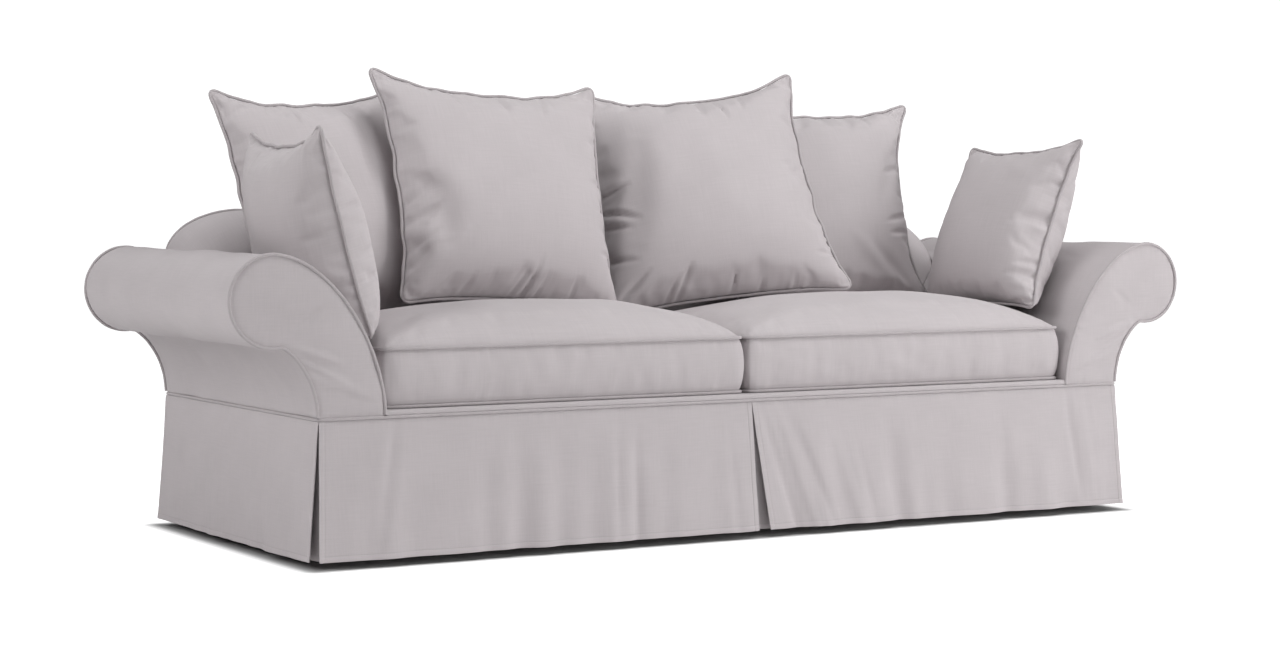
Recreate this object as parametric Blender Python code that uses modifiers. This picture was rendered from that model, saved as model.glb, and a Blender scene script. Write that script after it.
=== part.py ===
"""Slipcover of a three-seat sofa with rolled arms: the fitted, hollow body cover with its pleated
skirt, and the covered cushions that lie on it. Metres, +X to the right, +Y to the back, +Z up."""
import math

import bmesh
import bpy
from mathutils import Vector
from mathutils.geometry import interpolate_bezier

# Cloth and sewing
CLOTH = 0.002            # thickness of a panel
WELT = 0.0035            # radius of the covered cord
SEAM = 0.0003            # gap that two sewn pieces keep
TUCK = WELT + SEAM       # from a welt's centre line to the panels on both sides of it

# Body cover, measured at the skirt's welt; y runs from the cover's front here
HALF_WIDTH = 1.03
DEPTH = 0.851
SKIRT_TOP = 0.284
SKIRT_FLARE = 0.022      # how far the hem stands out from the welt
DECK = 0.298             # top of the panel that the seat cushions lie on
TUCK_IN = 0.010          # panels end this far below the deck
FRONT_SEAM = CLOTH / 2
BACK_SEAM = DEPTH - CLOTH / 2

# Rolled arm, seen from the front on the right-hand side
ROLL_X = 1.124
ROLL_Z = 0.523
ROLL_RADIUS = 0.0933
NOTCH_ANGLE = math.radians(-100)
SLOPE_ANGLE = math.radians(101)
ARM_INSIDE = 0.881       # the inner slope's foot

# Back
SHOULDER_X = 0.849       # the shoulder's ellipse: centre, width and height
SHOULDER_Z = 0.590
SHOULDER_WIDE = 0.180
SHOULDER_HIGH = 0.108
SHOULDER_STEPS = 8
BACK_FACE_LOW = 0.620    # y of the inside back at the deck, and at the shoulder's height
BACK_FACE_HIGH = 0.672
BACK_ROLL = 0.060        # height of the rounding over the top edge
BACK_ROWS = 9            # rows of the inside back, the upper ones round the rim
RIM_ROWS = 5

# Splits of the skirt
SPLIT_WIDE = 0.032       # the front split's width at the hem
BACKING_SET = 0.0045     # from the skirt's face to the backing, at the welt
BACKING_FLARE = 0.006
BACKING_REACH = 0.150
BACKING_TOP = SKIRT_TOP - 0.0016   # its top edge is sewn in close behind the welt
CORNER_RADIUS = 0.012

# Seat cushions
SEAT_LOW = 0.302         # height of the two welts
SEAT_HIGH = 0.4205
SEAT_FRONT = 0.021
SEAT_BACK = 0.616
SEAT_CROWN = 0.087
SEAT_PRESSED = 0.35      # how much of the crown the back cushions press out at the rear
SEAT_REST = 0.25         # how far in front of the middle that starts, as a share of half the depth
SEAT_BULGE = 0.009
SEAT_APART = 0.0045      # from the sofa's middle to each seat welt's centre line

EDGE = 0.0015            # half the thickness of a knife-edge cushion at its seam


def cloth_material(name, colour, roughness):
    material = bpy.data.materials.new(name)
    material.use_nodes = True
    surface = material.node_tree.nodes["Principled BSDF"]
    surface.inputs["Base Color"].default_value = (*colour, 1.0)
    surface.inputs["Roughness"].default_value = roughness
    surface.inputs["Metallic"].default_value = 0.0
    return material


def add_object(name, data, material):
    data.materials.append(material)
    piece = bpy.data.objects.new(name, data)
    PARTS.objects.link(piece)
    piece.parent = ROOT
    return piece


def add_sheet(name, material, columns, rows, place, flip=False):
    """A cloth panel: place(s, t) gives its visible face, the thickness lies behind it."""
    cloth = bmesh.new()
    bmesh.ops.create_grid(cloth, x_segments=columns, y_segments=rows, size=0.5)
    for vert in cloth.verts:
        vert.co = place(vert.co.x + 0.5, vert.co.y + 0.5)
    if flip:
        bmesh.ops.reverse_faces(cloth, faces=cloth.faces)
    mesh = bpy.data.meshes.new(name)
    cloth.to_mesh(mesh)
    cloth.free()
    mesh.shade_smooth()
    sheet = add_object(name, mesh, material)
    thicken = sheet.modifiers.new("cloth", "SOLIDIFY")
    thicken.thickness = CLOTH
    thicken.offset = -1
    thicken.use_even_offset = True
    return sheet


def add_flat_panel(name, material, outline, y_middle):
    """A flat upright panel with an (x, z) outline."""
    shape = bpy.data.curves.new(name, "CURVE")
    shape.dimensions = "2D"
    shape.fill_mode = "BOTH"
    shape.extrude = CLOTH / 2
    edge = shape.splines.new("POLY")
    edge.points.add(len(outline) - 1)
    for point, (x, z) in zip(edge.points, outline):
        point.co = (x, z, 0, 1)
    edge.use_cyclic_u = True
    panel = add_object(name, shape, material)
    panel.rotation_euler = (math.radians(90), 0, 0)
    panel.location = (0, y_middle, 0)
    return panel


def add_welt(name, material, route, closed=False):
    """A covered cord along the route's points."""
    cord = bpy.data.curves.new(name, "CURVE")
    cord.dimensions = "3D"
    cord.bevel_depth = WELT
    cord.bevel_resolution = 1
    cord.use_fill_caps = not closed
    line = cord.splines.new("POLY")
    line.points.add(len(route) - 1)
    for point, place in zip(line.points, route):
        point.co = (*place, 1)
    line.use_cyclic_u = closed
    return add_object(name, cord, material)


def offset_outline(points, distance, closed=False):
    """The (x, z) points moved to the left of their direction, mitred at the bends."""
    moved = []
    last = len(points) - 1
    for i, point in enumerate(points):
        before = points[i - 1] if i or closed else None
        after = points[(i + 1) % len(points)] if i < last or closed else None
        normals = []
        for start, end in ((before, point), (point, after)):
            if start is not None and end is not None:
                along = (end - start).normalized()
                normals.append(Vector((-along.y, along.x)))
        mitre = sum(normals, Vector((0, 0))).normalized()
        moved.append(point + mitre * (distance / mitre.dot(normals[0])))
    return moved


def at_height(points, z, rising):
    """The point at a height on a stretch of outline that only rises or only falls."""
    ordered = points if rising else points[::-1]
    for low, high in zip(ordered, ordered[1:]):
        if low.y <= z <= high.y:
            return low.lerp(high, (z - low.y) / (high.y - low.y))
    return ordered[0] if z < ordered[0].y else ordered[-1]


# ---------------------------------------------------------------- outlines of the right-hand arm
def bezier(start, handle_a, handle_b, end, count):
    points = interpolate_bezier(start, handle_a, handle_b, end, count)
    return [Vector((p[0], p[1])) for p in points]


def outer_arm_edge():
    """From the skirt's welt up to the notch under the roll."""
    foot = Vector((HALF_WIDTH, SKIRT_TOP))
    notch = roll_point(NOTCH_ANGLE)
    return bezier(foot, foot + Vector((0, 0.080)), notch - Vector((0.028, 0.010)), notch, 8)


def roll_point(angle):
    return Vector((ROLL_X + ROLL_RADIUS * math.cos(angle), ROLL_Z + ROLL_RADIUS * math.sin(angle)))


def roll_arc(steps=15):
    turn = SLOPE_ANGLE - NOTCH_ANGLE
    return [roll_point(NOTCH_ANGLE + turn * i / steps) for i in range(steps + 1)]


def inner_slope(foot_z, count=11):
    """From the roll's top down the arm's inner side."""
    top = roll_point(SLOPE_ANGLE)
    along = Vector((-math.sin(SLOPE_ANGLE), math.cos(SLOPE_ANGLE)))
    foot = Vector((ARM_INSIDE, foot_z))
    return bezier(top, top + along * 0.128, foot + Vector((0, 0.130)), foot, count)


def shoulder_curve():
    """From the arm up over the shoulder to the back's straight top."""
    curve = []
    for i in range(SHOULDER_STEPS + 1):
        angle = math.radians(90) * i / SHOULDER_STEPS
        curve.append(Vector((SHOULDER_X + SHOULDER_WIDE * math.cos(angle),
                             SHOULDER_Z + SHOULDER_HIGH * math.sin(angle))))
    return curve


def mirrored(points):
    return [Vector((-p.x, p.y)) for p in points[::-1]]


# ---------------------------------------------------------------- body cover
def face_depth(z):
    """y of the inside back's flat face."""
    share = (z - DECK) / (SHOULDER_Z - DECK)
    return BACK_FACE_LOW + (BACK_FACE_HIGH - BACK_FACE_LOW) * min(max(share, 0), 1.3)


def below_top(row):
    """How far below the back's edge a row of the inside back lies; the upper rows round the rim."""
    down = BACK_ROWS - row
    if down <= RIM_ROWS:
        return BACK_ROLL * (1 - math.cos(math.radians(90) * down / RIM_ROWS))
    span = SHOULDER_Z - DECK + TUCK_IN
    return BACK_ROLL + (span - BACK_ROLL) * (down - RIM_ROWS) / (BACK_ROWS - RIM_ROWS)


def back_depth(z, row):
    """y of the inside back at a height and row: its flat face, or the rim's quarter round."""
    front = face_depth(z)
    down = BACK_ROWS - row
    if down >= RIM_ROWS:
        return front
    rear = BACK_SEAM - TUCK
    return rear - (rear - front) * math.sin(math.radians(90) * down / RIM_ROWS)


def back_side(row):
    """Where a row of the inside back meets the arm's slope."""
    slope = inner_slope(DECK - TUCK_IN, 60)
    return at_height(slope, SHOULDER_Z - below_top(row), False)


def build_arm(side, name):
    cloth = MATERIALS["cover_cloth"]
    flip = side < 0
    y_front = FRONT_SEAM + TUCK
    y_rear = BACK_SEAM - TUCK

    # Inside arm: from the notch round the roll and down to the deck; behind, the slope ends at the
    # inside back and the roll runs on to the outside back
    rows = [(point, y_rear) for point in roll_arc()]
    rows[0] = (rows[0][0].lerp(rows[1][0], 0.05), y_rear)
    corner = back_side(BACK_ROWS)
    rows += [(point, y_rear) for point in inner_slope(DECK - TUCK_IN)[1:] if point.x > corner.x + 0.008]
    for row in range(BACK_ROWS, -1, -1):
        point = back_side(row)
        rows.append((point, min(back_depth(point.y, row) - CLOTH / 2, y_rear)))

    def place_inside(s, t):
        point, rear = rows[round(t * (len(rows) - 1))]
        return Vector((side * point.x, y_front + (rear - y_front) * s, point.y))

    add_sheet(f"inside_arm_{name}", cloth, 3, len(rows) - 1, place_inside, flip)

    # Outside arm: from the skirt's welt up to the notch
    outer = outer_arm_edge()
    outer[0] = Vector((HALF_WIDTH, SKIRT_TOP + TUCK))
    outer[-1] = outer[-1].lerp(outer[-2], 0.05)

    def place_outside(s, t):
        point = outer[round(t * (len(outer) - 1))]
        return Vector((side * point.x, y_front + (y_rear - y_front) * s, point.y))

    add_sheet(f"outside_arm_{name}", cloth, 2, len(outer) - 1, place_outside, flip)

    # Arm front and its welt
    line = outer_arm_edge()[:-1] + roll_arc() + inner_slope(SKIRT_TOP)[1:]
    line = welt_line([p for p in line if p.y > SKIRT_TOP + 2 * TUCK], HALF_WIDTH, ARM_INSIDE)
    panel = panel_inside(line)
    add_flat_panel(f"arm_front_{name}", cloth, [(side * p.x, p.y) for p in panel], FRONT_SEAM)
    add_welt(f"welt_arm_{name}", MATERIALS["welt_cloth"], [(side * p.x, FRONT_SEAM, p.y) for p in line])


def welt_line(outline, start_x, end_x):
    """An outline with two feet that stand clear of the skirt's welt."""
    foot = SKIRT_TOP + TUCK + WELT / 4
    return [Vector((start_x, foot))] + outline + [Vector((end_x, foot))]


def panel_inside(line):
    """The outline of the flat panel that a welt surrounds."""
    panel = offset_outline(line, TUCK)
    panel[0].y = SKIRT_TOP + TUCK
    panel[-1].y = SKIRT_TOP + TUCK
    return panel


def build_back():
    cloth = MATERIALS["cover_cloth"]
    lift = Vector((-0.0008, 0.0008))
    sides = [back_side(row) + lift for row in range(BACK_ROWS + 1)]
    shoulder = shoulder_curve()
    span = SHOULDER_Z - DECK + TUCK_IN

    def top_edge(s):
        """The back's top, from the left arm to the right one; each shoulder takes a sixth of it."""
        step = round(min(s, 1 - s) * 6 * SHOULDER_STEPS)
        sign = 1 if s > 0.5 else -1
        if step < SHOULDER_STEPS:
            point = shoulder[step]
            return Vector((sign * point.x, max(point.y, sides[-1].y)))
        return Vector((SHOULDER_X * (s - 0.5) * 3, shoulder[-1].y))

    def place_inside(s, t):
        # The panel's points run evenly between its four edges
        row = round(t * BACK_ROWS)
        up = 1 - below_top(row) / span
        top = top_edge(s)
        across = 2 * s - 1
        x = sides[0].x * across * (1 - up) + top.x * up
        x += (sides[row].x - sides[0].x * (1 - up) - sides[-1].x * up) * across
        z = sides[0].y * (1 - up) + top.y * up
        return Vector((x, back_depth(z, row), z))

    add_sheet("inside_back", cloth, 6 * SHOULDER_STEPS // 2, BACK_ROWS, place_inside)

    # The outline of the outside back, from the right foot over the back to the left foot
    slope = [p for p in inner_slope(SKIRT_TOP) if p.x > shoulder[0].x + 0.010]
    right = outer_arm_edge()[1:-1] + roll_arc() + slope[1:] + shoulder
    line = welt_line(right + mirrored(right), HALF_WIDTH, -HALF_WIDTH)
    add_flat_panel("outside_back", cloth, [tuple(p) for p in panel_inside(line)], BACK_SEAM)
    add_welt("welt_back", MATERIALS["welt_cloth"], [(p.x, BACK_SEAM, p.y) for p in line])


def build_deck():
    cloth = MATERIALS["cover_cloth"]
    half = ARM_INSIDE - SEAM
    strip = 0.120
    front = [Vector((0, SKIRT_TOP + TUCK)), Vector((0, DECK - 0.003)), Vector((0.001, DECK - 0.001)),
             Vector((0.003, DECK)), Vector((strip, DECK))]
    band_half = (ARM_INSIDE - TUCK, half)

    def place_band(s, t):
        point = front[round(t * (len(front) - 1))]
        wide = band_half[1] if point.x > TUCK + FRONT_SEAM else band_half[0]
        return Vector(((2 * s - 1) * wide, point.x, point.y))

    def place_deck(s, t):
        rear = face_depth(DECK) - SEAM
        start = strip + SEAM
        return Vector(((2 * s - 1) * half, start + (rear - start) * t, DECK))

    add_sheet("front_band", cloth, 4, len(front) - 1, place_band)
    add_sheet("deck", cloth, 4, 2, place_deck)


# ---------------------------------------------------------------- skirt
# Soft folds of each skirt panel: place along it as a share of its width, depth and width of the
# fold at the hem (a negative depth is a trough)
FOLDS = {
    "front_left": ((0.14, 0.008, 0.045), (0.29, 0.006, 0.050), (0.44, -0.006, 0.030),
                   (0.49, 0.008, 0.030), (0.655, 0.007, 0.045), (0.83, 0.004, 0.060),
                   (0.96, 0.008, 0.040)),
    "front_right": ((0.075, -0.006, 0.025), (0.155, 0.008, 0.035), (0.27, 0.007, 0.035),
                    (0.355, -0.006, 0.030), (0.58, 0.007, 0.040), (0.655, -0.006, 0.025),
                    (0.77, 0.007, 0.035), (0.85, -0.005, 0.030)),
    "side_left": ((0.20, 0.004, 0.070), (0.62, 0.003, 0.080)),
    "side_right": ((0.25, 0.004, 0.070), (0.66, 0.003, 0.080)),
    "back": ((0.18, 0.005, 0.070), (0.42, 0.004, 0.080), (0.71, 0.005, 0.070)),
}


def fold_depth(folds, share, length):
    depth = 0
    for centre, height, width in folds:
        depth += height * math.exp(-((share - centre) * length / width) ** 2)
    return depth


def add_skirt_panel(name, start, end, outward, columns, slant=(0, 0), flip=False):
    """One hanging panel between two plan points; slant moves its lower corners along it."""
    start = Vector(start)
    along = Vector(end) - start
    outward = Vector(outward)
    folds = FOLDS[name]
    top = SKIRT_TOP - TUCK

    def place(s, t):
        drop = 1 - t
        plan = start + along * s
        shift = (slant[0] * (1 - s) + slant[1] * s) * drop
        out = SKIRT_FLARE * drop + fold_depth(folds, s, along.length) * drop ** 1.4
        plan = plan + along.normalized() * shift + outward * out
        return Vector((plan.x, plan.y, top * t))

    add_sheet(f"skirt_{name}", MATERIALS["skirt_cloth"], columns, 4, place, flip)


def corner_plan(inset, reach):
    """Plan points of a strip round the front right corner, from the side to the front."""
    x_face = HALF_WIDTH - inset
    points = [Vector((x_face, reach)), Vector((x_face, inset + CORNER_RADIUS * 3))]
    for i in range(4):
        angle = math.radians(90) * i / 3
        points.append(Vector((x_face - CORNER_RADIUS * (1 - math.cos(angle)),
                              inset + CORNER_RADIUS * (1 - math.sin(angle)))))
    points.append(Vector((x_face - CORNER_RADIUS * 3, inset)))
    points.append(Vector((HALF_WIDTH - reach, inset)))
    return points


def add_corner_backing(name, side, back):
    plan = corner_plan(BACKING_SET, BACKING_REACH)
    corner = Vector((1, -1)).normalized()

    def place(s, t):
        index = round(s * (len(plan) - 1))
        outward = corner
        if index < 2:
            outward = Vector((1, 0))
        elif index > len(plan) - 3:
            outward = Vector((0, -1))
        point = plan[index] + outward * BACKING_FLARE * (1 - t)
        y = DEPTH - point.y if back else point.y
        return Vector((side * point.x, y, BACKING_TOP * t))

    add_sheet(f"pleat_backing_{name}", MATERIALS["skirt_cloth"], len(plan) - 1, 2, place,
              (side < 0) == back)


def build_skirt():
    wide = HALF_WIDTH
    slit = 0.0006
    add_skirt_panel("front_left", (-wide + CLOTH + slit, 0), (-slit / 2, 0), (0, -1), 30, (-0.010, 0.004))
    add_skirt_panel("front_right", (slit / 2, 0), (wide - CLOTH - slit, 0), (0, -1), 30,
                    (SPLIT_WIDE + 0.004, 0.010))
    add_skirt_panel("side_right", (wide, slit), (wide, DEPTH - slit), (1, 0), 14)
    add_skirt_panel("side_left", (-wide, slit), (-wide, DEPTH - slit), (-1, 0), 14, flip=True)
    add_skirt_panel("back", (wide - CLOTH - slit, DEPTH), (-wide + CLOTH + slit, DEPTH), (0, 1), 20,
                    (-0.010, 0.010))

    for name, side, back in (("front_left", -1, False), ("front_right", 1, False),
                             ("back_left", -1, True), ("back_right", 1, True)):
        add_corner_backing(name, side, back)

    def place_centre(s, t):
        y = BACKING_SET - BACKING_FLARE * (1 - t)
        return Vector(((2 * s - 1) * BACKING_REACH, y, BACKING_TOP * t))

    add_sheet("pleat_backing_centre", MATERIALS["skirt_cloth"], 4, 2, place_centre)

    inset = CLOTH / 2
    x_line = HALF_WIDTH - inset
    bend = CORNER_RADIUS / 2
    route = []
    for x_sign, y_centre, start in ((1, inset + bend, -90), (1, DEPTH - inset - bend, 0),
                                    (-1, DEPTH - inset - bend, 90), (-1, inset + bend, 180)):
        for i in range(4):
            angle = math.radians(start + 30 * i)
            route.append((x_sign * (x_line - bend) + bend * math.cos(angle),
                          y_centre + bend * math.sin(angle), SKIRT_TOP))
    add_welt("welt_skirt", MATERIALS["welt_cloth"], route, closed=True)


# ---------------------------------------------------------------- cushions
def cut_box(cuts):
    """A box from -1 to 1, cut into a regular number of steps along x, y and z."""
    box = bmesh.new()
    bmesh.ops.create_cube(box, size=2)
    for axis, count in enumerate(cuts):
        along = [e for e in box.edges if abs((e.verts[1].co - e.verts[0].co)[axis]) > 1e-6]
        if count > 1:
            bmesh.ops.subdivide_edges(box, edges=along, cuts=count - 1, use_grid_fill=True)
    return box


def add_shaped_box(name, material, cuts, shape):
    box = cut_box(cuts)
    for vert in box.verts:
        vert.co = shape(*vert.co)
    mesh = bpy.data.meshes.new(name)
    box.to_mesh(mesh)
    box.free()
    mesh.shade_smooth()
    return add_object(name, mesh, material)


def eased(share):
    """Sets the steps of a cushion closer together towards its seam."""
    return math.sin(math.radians(90) * share)


def loop_shares(columns, rows):
    """The steps round a panel's rim, once round from its lower left corner."""
    across = [2 * i / columns - 1 for i in range(columns)]
    upward = [2 * i / rows - 1 for i in range(rows)]
    loop = [(a, -1) for a in across] + [(1, b) for b in upward]
    return loop + [(-a, 1) for a in across] + [(-1, -b) for b in upward]


SEAT_STEPS = (10, 8)


def seat_plan(a, b, half_x, half_y):
    """A point of the seat cushion's rounded plan, about its centre."""
    corner = 0.007 * abs(a * b) ** 24
    x = half_x * a - math.copysign(corner, a)
    y = half_y * b - math.copysign(corner, b)
    return Vector((x, y))


def build_seat_cushion(name, side):
    inner = SEAT_APART
    outer = ARM_INSIDE - 0.003
    centre = Vector((side * (inner + outer) / 2, (SEAT_FRONT + SEAT_BACK) / 2))
    half_x = (outer - inner) / 2
    half_y = (SEAT_BACK - SEAT_FRONT) / 2

    def shape(a, b, c):
        a, b = eased(a), eased(b)
        plan = seat_plan(a, b, half_x - TUCK, half_y - TUCK)
        c = round(c, 4)
        z = SEAT_LOW + (SEAT_HIGH - SEAT_LOW) * (c + 1) / 2
        if abs(c) < 1:
            bulge = SEAT_BULGE * (1 - c * c)
            plan.x += math.copysign(bulge, a) * (abs(a) > 0.999)
            plan.y += math.copysign(bulge, b) * (abs(b) > 0.999)
        dome = ((1 - abs(a) ** 2.5) * (1 - abs(b) ** 2.5)) ** 0.45 if max(abs(a), abs(b)) < 1 else 0
        if c == 1:
            z += SEAT_CROWN * dome * (1 - SEAT_PRESSED * max(b + SEAT_REST, 0))
        if c == -1:
            z -= (SEAT_LOW - DECK - SEAM) * min(dome * 4, 1)
        return Vector((plan.x, plan.y, z))

    cushion = add_shaped_box(f"seat_cushion_{name}", MATERIALS["seat_cloth"], (*SEAT_STEPS, 3), shape)
    cushion.location = (centre.x, centre.y, 0)
    for level, height in (("top", SEAT_HIGH), ("bottom", SEAT_LOW)):
        route = []
        for a, b in loop_shares(*SEAT_STEPS):
            plan = seat_plan(eased(a), eased(b), half_x, half_y)
            route.append((plan.x, plan.y, height))
        welt = add_welt(f"welt_seat_{name}_{level}", MATERIALS["welt_cloth"], route, closed=True)
        welt.location = cushion.location


# Knife-edge cushions: centre, lean to the back, turn and tilt in degrees, width and height from tip
# to tip, crown of the front and of the back face, how much wider the foot is than the top, how far
# the left side, the right side and the top pull in between the corners, and how much the arm
# squeezes the left foot
CUSHION_COLUMNS = ("name", "centre", "lean", "turn", "tilt", "wide", "high", "front", "rear", "spread",
                   "left", "right", "top", "squeeze")
CUSHIONS = (
    ("back_cushion_far_left", (-0.736, 0.6005, 0.7124), 16, 12.5, -2.4, 0.544, 0.552, 0.105, 0.085,
     0.03, 0.14, 0.14, 0.18, 0.25),
    ("back_cushion_front_left", (-0.3575, 0.5165, 0.7438), 18.5, 4, 3.4, 0.583, 0.553, 0.105, 0.085,
     -0.03, 0.13, 0.06, 0.185, 0.00),
    ("back_cushion_front_right", (0.233, 0.5530, 0.7405), 21, -17.7, -6.5, 0.579, 0.571, 0.105, 0.085,
     0.065, 0.03, 0.14, 0.20, 0.00),
    ("back_cushion_far_right", (0.607, 0.6108, 0.7097), 17, -6.5, 0, 0.556, 0.531, 0.105, 0.085,
     -0.02, 0.10, 0.21, 0.16, 0.00),
    ("throw_cushion_left", (-0.933, 0.2600, 0.6553), 14, 88, 1, 0.410, 0.447, 0.102, 0.112,
     0.00, 0.10, 0.10, 0.19, 0.00),
    ("throw_cushion_right", (0.918, 0.2885, 0.6590), 21.4, -90, -2.3, 0.419, 0.430, 0.100, 0.115,
     -0.02, 0.10, 0.14, 0.14, 0.00),
)
CUSHION_STEPS = 10
FOOT_DRAWN = 0.07        # how far the foot pulls up between its corners, as a share of half the height
BACK_EAR = 0.024         # radius of the rounded corners
THROW_EAR = 0.018
BACK_PLUMP = 0.55        # power of the crown's rise from the seam: a lower one rises more steeply
THROW_PLUMP = 0.50
SUNK = 0.18              # how far the filling has sunk towards the foot

# Where an arm presses the back face of a throw cushion flat: the depth that is left at the foot,
# and how much that grows up to the middle
ARM_PRESS = {"throw_cushion_left": (0.034, 0.125), "throw_cushion_right": (0.072, 0.075)}


def round_ear(a, b, row):
    """Rounds the corners of the square from -1 to 1."""
    radius = THROW_EAR if "throw" in row["name"] else BACK_EAR
    reach_a, reach_b = 2 * radius / row["wide"], 2 * radius / row["high"]
    s = max((abs(a) - 1) / reach_a + 1, 0)
    t = max((abs(b) - 1) / reach_b + 1, 0)
    a_in = reach_a * s * (1 - math.sqrt(1 - t * t / 2))
    b_in = reach_b * t * (1 - math.sqrt(1 - s * s / 2))
    return a - math.copysign(a_in, a), b - math.copysign(b_in, b)


def cushion_plan(a, b, row):
    """A point of the drawn-in face, about its centre."""
    a, b = round_ear(a, b, row)
    across = row["wide"] / 2 * a * (1 - row["spread"] * b)
    if a < 0:
        across *= 1 - row["squeeze"] * ((1 - b) / 2) ** 4
    side = row["left"] if a < 0 else row["right"]
    x = across * (1 - side * (1 - abs(b) ** 3) * a * a)
    drawn = row["top"] if b > 0 else FOOT_DRAWN
    z = row["high"] / 2 * b * (1 - drawn * (1 - abs(a) ** 3) * b * b)
    return Vector((x, z))


def build_cushion(row):
    throw = "throw" in row["name"]
    material = MATERIALS["throw_cloth" if throw else "back_cloth"]
    plump = THROW_PLUMP if throw else BACK_PLUMP

    def crown(a, b, sunk):
        if max(abs(a), abs(b)) > 0.9999:
            return 0
        low = b + sunk * (1 - b * b)
        return ((1 - a * a) * (1 - min(abs(low), 1) ** 2)) ** plump

    def shape(a, b, c):
        a, b = eased(a), eased(b)
        plan = cushion_plan(a, b, row)
        if c > 0:
            return Vector((plan.x, -(EDGE + row["front"] * crown(a, b, SUNK)), plan.y))
        depth = row["rear"] * crown(a, b, 0 if throw else SUNK)
        if throw:
            foot, rise = ARM_PRESS[row["name"]]
            depth = min(depth, foot + rise * (1 + b) ** 2)
        return Vector((plan.x, EDGE + depth, plan.y))

    cushion = add_shaped_box(row["name"], material, (CUSHION_STEPS, CUSHION_STEPS, 1), shape)
    rim = [cushion_plan(eased(a), eased(b), row) for a, b in loop_shares(CUSHION_STEPS, CUSHION_STEPS)]
    route = [(p.x, 0, p.y) for p in offset_outline(rim, -TUCK, closed=True)]
    welt = add_welt(f"welt_{row['name']}", MATERIALS["welt_cloth"], route, closed=True)
    for piece in (cushion, welt):
        piece.location = row["centre"]
        piece.rotation_mode = "YXZ"
        piece.rotation_euler = [math.radians(v) for v in (-row["lean"], row["tilt"], row["turn"])]


# ---------------------------------------------------------------- the whole cover
for old in list(bpy.data.objects):
    bpy.data.objects.remove(old, do_unlink=True)

PARTS = bpy.data.collections.new("sofa_slipcover")
bpy.context.scene.collection.children.link(PARTS)
ROOT = bpy.data.objects.new("cover_front", None)
ROOT.location = (0, -DEPTH / 2, 0)
PARTS.objects.link(ROOT)

MATERIALS = {
    "cover_cloth": cloth_material("cover_cloth", (0.50, 0.47, 0.475), 0.85),
    "skirt_cloth": cloth_material("skirt_cloth", (0.50, 0.47, 0.475), 0.85),
    "seat_cloth": cloth_material("seat_cloth", (0.51, 0.48, 0.485), 0.85),
    "back_cloth": cloth_material("back_cloth", (0.51, 0.48, 0.485), 0.85),
    "throw_cloth": cloth_material("throw_cloth", (0.51, 0.48, 0.485), 0.85),
    "welt_cloth": cloth_material("welt_cloth", (0.47, 0.44, 0.445), 0.85),
}

build_arm(-1, "left")
build_arm(1, "right")
build_back()
build_deck()
build_skirt()
build_seat_cushion("left", -1)
build_seat_cushion("right", 1)
for values in CUSHIONS:
    build_cushion(dict(zip(CUSHION_COLUMNS, values)))
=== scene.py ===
import math

import bpy
import numpy as np
from mathutils import Euler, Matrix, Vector


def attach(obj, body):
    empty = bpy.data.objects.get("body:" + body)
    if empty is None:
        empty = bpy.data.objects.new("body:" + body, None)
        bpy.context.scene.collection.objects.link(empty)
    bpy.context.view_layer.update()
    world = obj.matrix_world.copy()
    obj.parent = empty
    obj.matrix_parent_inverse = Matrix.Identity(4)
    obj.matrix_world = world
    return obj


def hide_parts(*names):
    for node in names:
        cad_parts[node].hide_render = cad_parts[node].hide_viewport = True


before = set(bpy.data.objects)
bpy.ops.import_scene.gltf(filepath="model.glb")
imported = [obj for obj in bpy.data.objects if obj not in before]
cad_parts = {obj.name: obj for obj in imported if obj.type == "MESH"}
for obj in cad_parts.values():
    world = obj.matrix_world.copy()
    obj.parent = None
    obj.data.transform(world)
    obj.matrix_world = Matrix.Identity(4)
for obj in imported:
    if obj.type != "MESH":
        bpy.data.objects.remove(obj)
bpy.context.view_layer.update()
bpy.ops.object.select_all(action="DESELECT")

# ---------------------------------------------------------------- studio
# A photographer's white cove: a white floor that runs out of sight, a white surround, broad soft
# lights from above, from the left and low from the right, and a weak one over the back.
bpy.ops.object.camera_add(
    location=(-3.1834, -5.3248, 0.7368), rotation=(math.pi / 2 - 0.0432, 0, -0.5266)
)
camera = bpy.context.object
camera.name = "camera"
camera.data.lens = 75.2
camera.data.shift_x = 0.01626
camera.data.shift_y = -0.01699
camera.data.clip_end = 200
bpy.context.scene.camera = camera
bpy.context.scene.view_settings.view_transform = "Standard"


class Wire:
    """A value on its way through a finish's nodes; sums and products of wires add Math nodes."""

    def __init__(self, finish, socket):
        self.finish = finish
        self.socket = socket

    def output(self, number):
        return Wire(self.finish, self.socket.node.outputs[number])

    def math(self, operation, *values):
        return self.finish.add("Math", {"operation": operation}, dict(enumerate(values)))

    def __add__(self, other):
        return self.math("ADD", self, other)

    __radd__ = __add__

    def __sub__(self, other):
        return self.math("SUBTRACT", self, other)

    def __rsub__(self, other):
        return self.math("SUBTRACT", other, self)

    def __mul__(self, other):
        return self.math("MULTIPLY", self, other)

    __rmul__ = __mul__

    def __truediv__(self, other):
        return self.math("DIVIDE", self, other)

    def __rtruediv__(self, other):
        return self.math("DIVIDE", other, self)

    def __abs__(self):
        return self.math("ABSOLUTE", self)

    def sine(self):
        return self.math("SINE", self)

    def root(self):
        return self.math("SQRT", self)

    def at_least(self, low):
        return self.math("MAXIMUM", self, low)

    def step(self, low, high):
        """0 below low and 1 above high, with a smooth rise between."""
        return self.finish.add(
            "MapRange", {"interpolation_type": "SMOOTHSTEP"}, {0: self, 1: low, 2: high}
        )


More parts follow.
